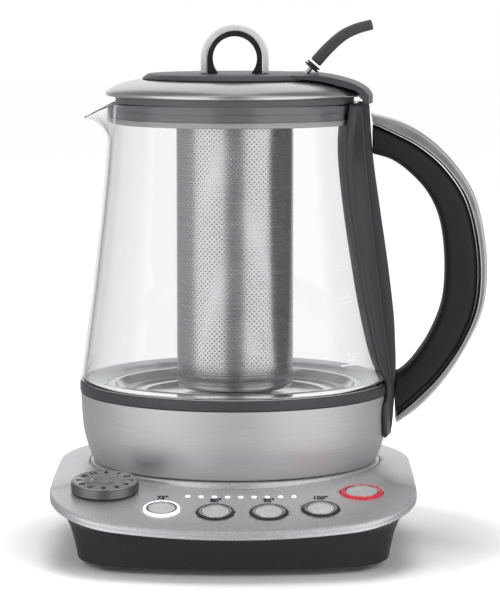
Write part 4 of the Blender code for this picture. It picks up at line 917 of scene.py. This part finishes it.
class AddBracket(bpy.types.Operator):
    """Dark moulding that wraps the jug, with a flange at each edge, a recess and a raised spine"""
    bl_idname = "teamaker.bracket"
    bl_label = "Handle bracket"

    def execute(self, context):
        levels = [BRACKET_FOOT, 51.5, 52.4, 54.0] + [56.5 + 2.5 * i for i in range(7)]
        levels += [72.5, 74.0, 77.5, 79.6, 80.6, 81.8, 83.0, 85.0, 88.0, 91.0, 94.0, 97.0, 102.0]
        levels += [107 + 6 * i for i in range(18)] + [213.0, 216.8, BRACKET_TOP]
        bm = skinned([self.ring(z) for z in levels])
        add_piece("bracket", bm, "kettle", "smoked_steel", ["handle_bracket"], angle=32)
        return {"FINISHED"}

    @staticmethod
    def ring(z):
        """Section at a height."""
        if z > 80.0:
            inside = glass_radius(z) + 0.7
        elif z > 70.0:
            inside = 78.5
        else:
            inside = between(CUP_PROFILE, z) + 0.8
        ends = min(1.0, (z - BRACKET_FOOT) / 1.4 + 0.35, BRACKET_TOP - z + 0.5)
        wrap = between(BRACKET_WRAP, z)
        recess = inside + 0.9 * ends
        spine = inside + (max(between(BRACKET_SPINE, z), inside + 1.7) - inside) * ends
        root = math.degrees(math.asin(SPINE_HALF_WIDTH / recess))
        proud = inside + 1.9 * ends
        rib = (min(wrap - 7.2, root + 3.4), min(wrap - 6.8, root + 2.5))
        side = [polar(inside + 1.2 * ends, -wrap), polar(inside + 1.75 * ends, 0.35 - wrap),
                polar(proud, 0.9 - wrap), polar(proud, 5.0 - wrap), polar(inside + 1.7 * ends, 5.4 - wrap),
                polar(inside + 1.2 * ends, 5.75 - wrap), polar(recess, 6.3 - wrap),
                polar(recess, -rib[0] - 0.4), polar(recess + 0.45 * ends, -rib[0]),
                polar(recess + 0.45 * ends, -rib[1]), polar(recess, 0.4 - rib[1]), polar(recess, -root),
                (spine - 1.0, -SPINE_HALF_WIDTH), (spine - 0.3, -8.75), (spine, -8.1), (spine, -4.0)]
        other = [(x, -y) for x, y in side[::-1]]
        return [(x, y, z) for x, y in side + other + arc((0, 0), inside, wrap, -wrap, 24)]


def oval_ring(outer, inner, half_width, count, squareness):
    """Rounded section between two points (x, z), so wide to each side along Y."""
    ring = []
    for i in range(count):
        turn = math.tau * (i + 0.5) / count
        across = math.copysign(abs(math.cos(turn)) ** squareness, math.cos(turn))
        aside = math.copysign(abs(math.sin(turn)) ** squareness, math.sin(turn))
        share = (1 + across) / 2
        ring.append((inner[0] + (outer[0] - inner[0]) * share, half_width * aside,
                     inner[1] + (outer[1] - inner[1]) * share))
    return ring


class AddHandle(bpy.types.Operator):
    """D-shaped handle: a soft black grip with a brushed steel strip round its outside"""
    bl_idname = "teamaker.handle"
    bl_label = "Handle"

    def execute(self, context):
        grip = [oval_ring(s[2:4], s[4:6], HANDLE_HALF_WIDTH, 36, 0.55) for s in HANDLE_STATIONS]
        add_piece("grip", skinned(grip), "kettle", "soft_grip", ["handle_grip"], angle=50)
        strip = []
        for outer_x, outer_z, line_x, line_z, _, _ in HANDLE_STATIONS:
            outer, line = Vector((outer_x, outer_z)), Vector((line_x, line_z))
            inner = line + (outer - line).normalized() * 0.5
            strip.append(oval_ring(outer, inner, HANDLE_HALF_WIDTH + 0.4, 28, 0.3))
        add_piece("handle_strip", skinned(strip), "kettle", "brushed_strip_steel", ["handle_trim"],
                  angle=50)
        return {"FINISHED"}


# Lid

DOME_TOP_Z, DOME_EDGE_Z, LID_LIP_Z = 229.2, 222.4, 221.1
# The tongue's upper and lower side, as heights by distance from the axis, and the bow of its end
TONGUE_TOP = curve_through(((43.0, 231.97), (50.6, 231.1), (57.4, 229.4), (62.2, 227.7), (67.0, 224.6),
                            (68.7, 221.5)), 5)
TONGUE_UNDER = ((49.1, 227.7), (56.2, 226.5), (62.6, 224.6), (64.5, 223.0), (66.2, 218.1))
TONGUE_BOW = 284.0


def dome_height(radius):
    """Top of the lid's dome."""
    edge, flat = sizes().lid_radius / MM, sizes().cover_radius / MM
    share = min(1.0, max(0.0, (radius - flat) / (edge - flat)))
    return DOME_EDGE_Z + (DOME_TOP_Z - DOME_EDGE_Z) * (1 - share ** 1.6) ** 0.65


def lever_slot(low, high, margin):
    """Tool for the slot that the lever's rod swings in."""
    left = LEVER_PIN[0] - margin
    right = LEVER_PIN[0] + (high - LEVER_PIN[1]) / math.tan(math.radians(ROD_SLOPE)) + 2.2
    return raised([(left, -1.8), (right, -1.8), (right, 1.8), (left, 1.8)], low, high)


class AddLidDome(bpy.types.Operator):
    """Brushed steel dome of the lid, the grey insert below it and the seal round the insert"""
    bl_idname = "teamaker.lid_dome"
    bl_label = "Lid dome"

    def execute(self, context):
        edge, flat = sizes().lid_radius / MM, sizes().cover_radius / MM
        shares = [(i / 20) for i in range(19)] + [0.935, 0.965, 0.985, 0.996]
        radii = [flat + (edge - flat) * share for share in shares]
        outer = [(0, DOME_TOP_Z)] + [(r, dome_height(r)) for r in radii]
        lip = [(edge, DOME_EDGE_Z), (edge - 0.05, 222.0), (edge - 0.3, 221.5), (edge - 0.7, 221.2),
               (edge - 1.2, LID_LIP_Z), (61.4, LID_LIP_Z), (60.95, 221.3), (60.9, 221.7), (61.4, 222.6)]
        inner = [(r - 0.9, dome_height(r) - 1.5) for r in radii[-6::-3]] + [(0, DOME_TOP_Z - 1.5)]
        dome = combined(turned(outer + lip + inner), lever_slot(220.0, 229.4, 3.2), "DIFFERENCE")
        add_piece("dome", dome, "lid", "brushed_lid_steel", ["lid_dome"], angle=50)
        ribs = [(59.4, z) for z in (210.3, 213.4)] + [(59.15, 213.6), (59.15, 214.0), (59.4, 214.2)]
        insert = [(30.0, 208.2), (57.3, 208.2), (57.6, 208.5), (57.6, 210.1), (59.1, 210.1)] + ribs
        insert += [(59.4, 223.3), (59.2, 223.5), (58.2, 223.5), (56.2, 209.4), (30.0, 209.4)]
        add_piece("insert", turned(insert), "lid", "insert_polypropylene", ["lid_insert"])
        seal = [(57.9, 207.4), (59.3, 207.4), (59.7, 207.6), (59.9, 208.1), (59.9, 208.9), (59.6, 209.1),
                (59.9, 209.3), (59.9, 209.8), (59.7, 210.0), (57.9, 210.0)]
        add_piece("insert_seal", turned(seal), "lid", "pale_silicone", ["lid_seal"])
        return {"FINISHED"}


class AddCover(bpy.types.Operator):
    """Round cover plate with a tongue that reaches over to the handle bracket"""
    bl_idname = "teamaker.cover"
    bl_label = "Lid cover"

    def execute(self, context):
        radius = sizes().cover_radius / MM
        disc = [(0, 229.5), (radius - 0.3, 229.5), (radius - 0.05, 229.65), (radius, 229.9),
                (radius - 0.25, 230.25), (radius - 2.3, 231.75), (radius - 2.8, 232.0), (0, 232.0)]
        end = [(68.7 - y * y / TONGUE_BOW, y) for y in (30.0 * i / 12 for i in range(-12, 13))]
        outline = [(24.0, -34.0), (30.2, -34.6)] + end + [(30.2, 34.6), (24.0, 34.0)]
        bm = bmesh.new()
        bm.faces.new([bm.verts.new((x, y, 0)) for x, y in outline])
        # Lines of vertices for the tongue to bend at, closer together where it bends more
        for x in [30 + 2 * i for i in range(7)] + [44 + 1.5 * i for i in range(17)]:
            divide(bm, (x, 0, 0), (1, 0, 0))
        for y in range(-30, 31, 4):
            divide(bm, (0, y, 0), (0, 1, 0))
        top = bmesh.ops.extrude_face_region(bm, geom=bm.faces[:])["geom"]
        upper = {item for item in top if isinstance(item, bmesh.types.BMVert)}
        for vert in bm.verts:
            out = vert.co.x + vert.co.y ** 2 / TONGUE_BOW
            reach = vert.co.xy.length
            if vert in upper:
                vert.co.z = between(TONGUE_TOP, out)
            elif reach > sizes().lid_radius / MM + 0.4:
                vert.co.z = between(TONGUE_UNDER, out)
            else:
                vert.co.z = max(between(TONGUE_UNDER, out), dome_height(reach) + 1.0)
        cover = combined(turned(disc), bm, "UNION")
        cover = combined(cover, lever_slot(229.0, 232.5, 1.9), "DIFFERENCE")
        plate = add_piece("cover", cover, "lid", "smoked_steel", ["lid_cover"], angle=28)
        edges = plate.modifiers.new("eased_edges", "BEVEL")
        edges.width = 0.7 * MM
        edges.segments = 3
        edges.limit_method = "ANGLE"
        edges.angle_limit = math.radians(38)
        edges.harden_normals = True
        return {"FINISHED"}


def arch(radius, foot):
    """Half circle with straight legs down to a height, from the right leg to the left one."""
    curve = arc((0, LOOP_CENTRE_Z), radius, 0, 180, 48)
    return [(radius, foot)] + curve + [(-radius, foot)]


class AddLoop(bpy.types.Operator):
    """Upright finger loop: a black core under a steel band"""
    bl_idname = "teamaker.loop"
    bl_label = "Finger loop"

    def execute(self, context):
        outer = sizes().loop_radius / MM
        join, foot, hole = outer - 3.0, 232.3, 11.0
        band = upright(arch(outer, foot) + arch(join + 0.15, foot)[::-1], -6.5, 6.5)
        add_piece("loop_band", ease_edges(band, 0.55, 3), "lid", "satin_band_steel", ["lid_loop_band"],
                  angle=25)
        low = math.degrees(math.asin((LOOP_CENTRE_Z - foot) / hole))
        ring = arch(join - 0.15, foot) + arc((0, LOOP_CENTRE_Z), hole, 180 + low, -low, 60)
        core = upright(ring, -6.0, 6.0)
        add_piece("loop_core", ease_edges(core, 0.6, 3), "lid", "soft_grip", ["lid_loop_core"],
                  angle=25)
        return {"FINISHED"}


# Lever

GRIP_LINE = ((40.1, 237.5), (46.5, 244.6), (53.5, 250.7), (60.5, 254.2), (68.3, 256.3))


class AddLever(bpy.types.Operator):
    """Lever that raises the filter: bell crank and rod, collar and curved grip"""
    bl_idname = "teamaker.lever"
    bl_label = "Lever"

    def execute(self, context):
        pin = Vector((LEVER_PIN[0], 0, LEVER_PIN[1]))
        slope, crank = math.radians(ROD_SLOPE), math.radians(CRANK_SLOPE)
        along = Vector((math.cos(slope), 0, math.sin(slope)))
        end = Vector((CRANK_LENGTH * math.cos(crank), 0, CRANK_LENGTH * math.sin(crank)))
        outline = arc((0, 0), 2.2, 32, 212, 24) + arc((end.x, end.z), 1.8, -148, 32, 20)
        arm = ease_edges(upright(outline, -1.1, 1.1), 0.25, 2)
        arm = combined(arm, bar(along * 1.5, along * 13.2, 1.1, 32), "UNION")
        arm = combined(arm, bar(end + Vector((0, -0.6, 0)), end + Vector((0, 3.8, 0)), 1.1, 32), "UNION")
        arm = combined(arm, bar((0, -3, 0), (0, 3, 0), 1.2, 32), "DIFFERENCE")
        add_piece("crank_rod", placed(arm, Matrix.Translation(pin)), "lever", "polished_steel",
                  ["lever_rod"])
        collar = [(0, 0.4), (1.4, 0.4), (1.4, -1.3), (2.2, -1.3), (3.9, -0.95), (4.3, -0.6), (4.3, -0.3),
                  (4.1, -0.15), (2.9, -0.05), (2.9, 0.3), (3.6, 0.45), (3.9, 0.7), (3.7, 1.1), (3.3, 1.3),
                  (0, 1.3)]
        turn = Matrix.Translation(pin + along * 13.2) @ Matrix.Rotation(math.pi / 2 - slope, 4, "Y")
        add_piece("collar", placed(turned(collar, MIDDLE), turn), "lever", "smoked_steel",
                  ["lever_collar"])
        line = [Vector(point) for point in curve_through(GRIP_LINE, 8)]
        rings = []
        for i, point in enumerate(line):
            forward = (line[min(i + 1, len(line) - 1)] - line[max(i - 1, 0)]).normalized()
            share = i / (len(line) - 1)
            thick, wide = 3.0 - 0.4 * share, 4.6
            if i in (0, len(line) - 1):
                thick, wide = thick - 0.5, wide - 0.5
            across = Vector((-forward.y, forward.x)) * thick
            rings.append(oval_ring(point + across, point - across, wide, 28, 0.5))
        add_piece("lever_handle", skinned(rings), "lever", "lever_plastic", ["lever_grip"], angle=40)
        return {"FINISHED"}


# Filter

FILTER_BOTTOM, FILTER_BAND_TOP, FLANGE_Z, FILTER_WALL = 75.0, 83.6, 209.7, 0.8
HOLE_FRAME = 0.2        # steel round each hole, as a share of the holes' distance
SHEET_THICKNESS = 0.5


class AddFilter(bpy.types.Operator):
    """Tea filter: a perforated tube, its closed end and the rim with the lever's yoke"""
    bl_idname = "teamaker.filter"
    bl_label = "Tea filter"

    def execute(self, context):
        radius = sizes().filter_radius / MM
        low, high = FILTER_BAND_TOP + 0.3, FLANGE_Z - 0.3
        add_piece("perforated_tube", self.tube(radius, low, high), "filter", "brushed_filter_steel",
                  ["filter_basket"], angle=50)
        inner, bottom = radius - FILTER_WALL, FILTER_BOTTOM
        cap = [(0, bottom), (25.5, bottom), (26.9, bottom + 0.25), (28.1, bottom + 0.9), (28.9, bottom + 1.9),
               (radius, bottom + 3.2), (radius, FILTER_BAND_TOP), (inner, FILTER_BAND_TOP),
               (inner, bottom + 3.3), (27.6, bottom + 1.9), (25.6, bottom + 0.9), (0, bottom + 0.9)]
        add_piece("filter_end", turned(cap, 120), "filter", "brushed_filter_steel", ["filter_cap"],
                  angle=50)
        rim = [(inner - 0.3, 204.0), (inner - 0.3, FLANGE_Z), (32.7, FLANGE_Z), (33.0, FLANGE_Z + 0.3),
               (33.0, FLANGE_Z + 0.7), (32.7, FLANGE_Z + 1.0), (inner - 0.9, FLANGE_Z + 1.0),
               (inner - 1.3, FLANGE_Z + 0.6), (inner - 1.3, 204.0)]
        yoke = upright([(31.5, 209.9), (48.4, 209.9), (48.4, 215.4), (47.8, 216.0), (32.1, 216.0),
                        (31.5, 215.4)], 1.6, 3.0)
        left, right = crank_x(0) - 1.7, crank_x(40) + 1.7
        window = upright([(left, 210.75), (right, 210.75), (right, 214.4), (left, 214.4)], 0.0, 5.0)
        yoke = combined(yoke, window, "DIFFERENCE")
        add_piece("filter_flange", combined(turned(rim, 120), yoke, "UNION"), "filter",
                  "polished_steel", ["filter_rim"])
        return {"FINISHED"}

    @staticmethod
    def tube(radius, low, high):
        """Sheet of diamond cells, each pierced, rolled into a tube and given its thickness."""
        columns = sizes().holes_round
        rows = round(columns * (high - low) / (math.tau * radius))
        bm = bmesh.new()
        bmesh.ops.create_grid(bm, x_segments=columns, y_segments=rows, size=0.5)
        cells = [edge for edge in bm.edges if not edge.is_boundary]
        bmesh.ops.poke(bm, faces=bm.faces[:])
        bmesh.ops.dissolve_edges(bm, edges=cells, use_verts=False)
        diamonds = [face for face in bm.faces if len(face.verts) == 4]
        pitch = math.tau * radius / columns
        bmesh.ops.scale(bm, vec=(math.tau * radius, high - low, 1), verts=bm.verts)
        bmesh.ops.inset_individual(bm, faces=diamonds, thickness=HOLE_FRAME * pitch, use_even_offset=True)
        bmesh.ops.delete(bm, geom=diamonds, context="FACES")
        for vert in bm.verts:
            angle, z = vert.co.x / radius, vert.co.y
            vert.co = (radius * math.cos(angle), radius * math.sin(angle), (low + high) / 2 + z)
        bmesh.ops.remove_doubles(bm, verts=bm.verts, dist=0.01)
        bmesh.ops.recalc_face_normals(bm, faces=bm.faces)
        bmesh.ops.solidify(bm, geom=bm.faces[:], thickness=SHEET_THICKNESS)
        return bm


def crank_x(lift):
    """How far from the axis the crank's pin is when the lever is raised by so many degrees."""
    return LEVER_PIN[0] + polar(CRANK_LENGTH, lift + CRANK_SLOPE)[0]


# Pieces that stay as the CAD drew them

CARRIED_OVER = {
    "moulded_nylon": ("base_bottom_plate", "base_connector", "kettle_socket", "kettle_bottom_cover",
                      "thermostat", "timer_encoder"),
    "lacquered_board": ("control_board", "power_board"),
    "smoked_steel": ("base_screw_1", "base_screw_2", "base_screw_3", "base_screw_4"),
    "polished_steel": ("lever_pin",),
    "knurled_steel": ("heating_element",),
    "insert_polypropylene": ("lever_fork",),
}


class DressInside(bpy.types.Operator):
    """Finishes of the inner pieces, whose solids show as they are"""
    bl_idname = "teamaker.inside"
    bl_label = "Inner pieces"

    def execute(self, context):
        for material, nodes in CARRIED_OVER.items():
            for name in nodes:
                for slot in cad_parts[name].material_slots:
                    slot.material = MATERIALS[material]
        return {"FINISHED"}


# Floor, light and camera

# The world's light on the object, and the floor's own glow to the eye, which grows between two distances
# in metres from the kettle so that the shadow is kept
AMBIENT = 0.35
GLOW_START, GLOW_FULL, FLOOR_GLOW = 0.112, 0.19, 0.65
# Brightness of the room in what metal reflects, by share of a half turn away from the camera's side:
# a dim gap, a tall soft box to each side, dark flags beside them and the white backdrop
REFLECTED = ((0.0, 0.22), (0.08, 0.25), (0.13, 1.0), (0.44, 1.0), (0.5, 0.32), (0.84, 0.32), (0.9, 1.0),
             (1.0, 1.0))
# Upwards that room dims to a share, between two heights of a direction
DIM_START, DIM_FULL, OVERHEAD = 0.2, 0.85, 0.6


# Soft boxes: name, place from the object's middle and size in metres, and power in watts
LAMPS = (("left_box", (-0.75, -0.75, 0.35), (0.5, 1.1), 5.2),
         ("right_box", (0.8, -0.7, 0.35), (0.5, 1.1), 4.8),
         ("top_box", (0.05, 0.1, 1.1), (0.7, 0.7), 9.0))
# The camera's place and aim in mm from the kettle's axis, and its lens on a sensor 36 mm wide
CAMERA_PLACE, CAMERA_AIM = (16.0, -1402.0, 278.5), (7.56, 0.0, 118.0)
LENS, SENSOR_WIDTH = 168.0, 36.0


def aimed(obj, place, aim):
    """Put a lamp or camera in the scene, looking at a point."""
    obj.location = place
    obj.rotation_euler = (Vector(aim) - Vector(place)).to_track_quat("-Z", "Y").to_euler()
    bpy.context.scene.collection.objects.link(obj)


class SetStage(bpy.types.Operator):
    """White floor that keeps the shadow, plain studio light and the camera"""
    bl_idname = "teamaker.stage"
    bl_label = "Stage"

    def execute(self, context):
        self.floor()
        self.world(context.scene)
        middle = Vector((AXIS_X, AXIS_Y, 0.13))
        for name, place, size, power in LAMPS:
            data = bpy.data.lights.new(name, "AREA")
            data.shape = "RECTANGLE"
            data.size, data.size_y = size
            data.energy = power
            lamp = bpy.data.objects.new(name, data)
            # Metal reflects the soft boxes of the world instead, which have no hard outline
            lamp.visible_glossy = lamp.visible_transmission = False
            aimed(lamp, middle + Vector(place), middle)
        camera = bpy.data.objects.new("camera", bpy.data.cameras.new("camera"))
        camera.data.lens = LENS
        camera.data.sensor_width = SENSOR_WIDTH
        camera.data.clip_start = 0.05
        axis = Vector((AXIS_X, AXIS_Y, 0))
        aimed(camera, axis + Vector(CAMERA_PLACE) * MM, axis + Vector(CAMERA_AIM) * MM)
        context.scene.camera = camera
        context.scene.view_settings.view_transform = "Standard"
        return {"FINISHED"}

    @staticmethod
    def floor():
        """Wide floor, white where nothing stands in its light."""
        bm = bmesh.new()
        bmesh.ops.create_circle(bm, cap_ends=True, segments=64, radius=6.0)
        mesh = bpy.data.meshes.new("floor")
        bm.to_mesh(mesh)
        bm.free()
        floor = bpy.data.objects.new("floor", mesh)
        bpy.context.scene.collection.objects.link(floor)
        # Painted studio floor: matt, and as white as the backdrop wherever it is lit
        material, tree, shader = new_material("studio_floor", "F8F8F8", 0.9, 0.0, {"Specular IOR Level": 0.0})
        place = add_node(tree, "TexCoord").outputs["Object"]
        away = add_node(tree, "VectorMath", {0: place}, operation="LENGTH")
        need = add_node(tree, "MapRange", {"Value": away.outputs["Value"], "From Min": GLOW_START,
                                           "From Max": GLOW_FULL, "To Max": FLOOR_GLOW})
        glow = add_node(tree, "Emission", {"Strength": seen_directly(tree, need.outputs[0])})
        both = add_node(tree, "AddShader", {0: shader, 1: glow})
        # Mirrors see past it to the room's soft boxes, which stand on the floor in a real studio
        past = add_node(tree, "BsdfTransparent", {"Color": (1, 1, 1, 1)})
        whole = add_node(tree, "MixShader", {0: after_mirror(tree), 1: both, 2: past})
        tree.links.new(whole.outputs[0], tree.nodes["Material Output"].inputs["Surface"])
        mesh.materials.append(material)

    @staticmethod
    def world(scene):
        """White backdrop all round to the eye; a darker front and ceiling in what metal reflects."""
        world = bpy.data.worlds.new("studio")
        world.use_nodes = True
        scene.world = world
        tree = world.node_tree
        place = add_node(tree, "TexCoord").outputs["Generated"]
        axes = add_node(tree, "SeparateXYZ", {0: place}).outputs
        front = add_node(tree, "Math", {0: axes["Y"], 1: -1.0}, operation="MULTIPLY")
        round_it = add_node(tree, "Math", {0: axes["X"], 1: front}, operation="ARCTAN2")
        aside = add_node(tree, "Math", {0: round_it}, operation="ABSOLUTE")
        share = add_node(tree, "Math", {0: aside, 1: math.pi}, operation="DIVIDE")
        boxes = add_node(tree, "ValToRGB", {0: share})
        stops = boxes.color_ramp.elements
        stops[0].position, stops[1].position = REFLECTED[0][0], REFLECTED[-1][0]
        for at, _ in REFLECTED[1:-1]:
            stops.new(at)
        for stop, (_, level) in zip(stops, REFLECTED):
            stop.color = (level, level, level, 1.0)
        height = add_node(tree, "MapRange", {"Value": axes["Z"], "From Min": DIM_START, "From Max": DIM_FULL,
                                             "To Min": 1.0, "To Max": OVERHEAD})
        mirror = add_node(tree, "Math", {0: boxes, 1: height}, operation="MULTIPLY")
        mirrored = add_node(tree, "Mix", {"Factor": after_mirror(tree), "A": AMBIENT, "B": mirror})
        level = add_node(tree, "Mix", {"Factor": seen_directly(tree, 1.0), "A": mirrored, "B": 1.0})
        tree.links.new(level.outputs[0], tree.nodes["Background"].inputs["Strength"])
        tree.nodes["Background"].inputs["Color"].default_value = (1, 1, 1, 1)


def seen_directly(tree, strength):
    """Strength for what the camera sees straight or through glass, and nothing for other rays."""
    rays = add_node(tree, "LightPath")
    bounces = add_node(tree, "Math", {0: rays.outputs["Glossy Depth"], 1: rays.outputs["Diffuse Depth"]},
                       operation="ADD")
    straight = add_node(tree, "Math", {0: bounces, 1: 0.5}, operation="LESS_THAN")
    through = add_node(tree, "Math", {0: rays.outputs["Is Transmission Ray"], 1: straight},
                       operation="MULTIPLY")
    total = add_node(tree, "Math", {0: rays.outputs["Is Camera Ray"], 1: through}, operation="MAXIMUM")
    return add_node(tree, "Math", {0: total, 1: strength}, operation="MULTIPLY").outputs[0]


def after_mirror(tree):
    """1 for a ray that left metal or a glass face, also where it then went out through glass."""
    rays = add_node(tree, "LightPath")
    mirrored = add_node(tree, "Math", {0: rays.outputs["Glossy Depth"], 1: 0.5}, operation="GREATER_THAN")
    through = add_node(tree, "Math", {0: rays.outputs["Is Transmission Ray"], 1: mirrored},
                       operation="MULTIPLY")
    return add_node(tree, "Math", {0: rays.outputs["Is Glossy Ray"], 1: through},
                    operation="MAXIMUM").outputs[0]


# Add-on

PIECES = (AddHousing, AddFascia, AddSeat, AddFeet, AddButtons, AddKnob, AddLights, AddNumbers, AddCup,
          AddHeatingPlate, AddJug, AddBracket, AddHandle, AddLidDome, AddCover, AddLoop, AddLever, AddFilter,
          DressInside, SetStage)


class TeaMakerPanel(bpy.types.Panel):
    """Sidebar panel with the settings and one button for each piece"""
    bl_idname = "VIEW3D_PT_tea_maker"
    bl_label = "Tea maker"
    bl_space_type = "VIEW_3D"
    bl_region_type = "UI"
    bl_category = "Tea maker"

    def draw(self, context):
        for settings in (context.scene.tea_maker_sizes, context.scene.tea_maker_colours):
            box = self.layout.box()
            for name in settings.__annotations__:
                box.prop(settings, name)
        for piece in PIECES:
            self.layout.operator(piece.bl_idname)


CLASSES = (TeaMakerSizes, TeaMakerColours, *PIECES, TeaMakerPanel)


def register():
    """Add the classes and their settings to Blender."""
    for cls in CLASSES:
        bpy.utils.register_class(cls)
    bpy.types.Scene.tea_maker_sizes = PointerProperty(type=TeaMakerSizes)
    bpy.types.Scene.tea_maker_colours = PointerProperty(type=TeaMakerColours)


def unregister():
    """Take them out again."""
    del bpy.types.Scene.tea_maker_sizes
    del bpy.types.Scene.tea_maker_colours
    for cls in reversed(CLASSES):
        bpy.utils.unregister_class(cls)


def main():
    register()
    make_materials(bpy.context.scene.tea_maker_colours)
    for piece in PIECES:
        group, name = piece.bl_idname.split(".")
        getattr(getattr(bpy.ops, group), name)()


if __name__ == "__main__":
    main()
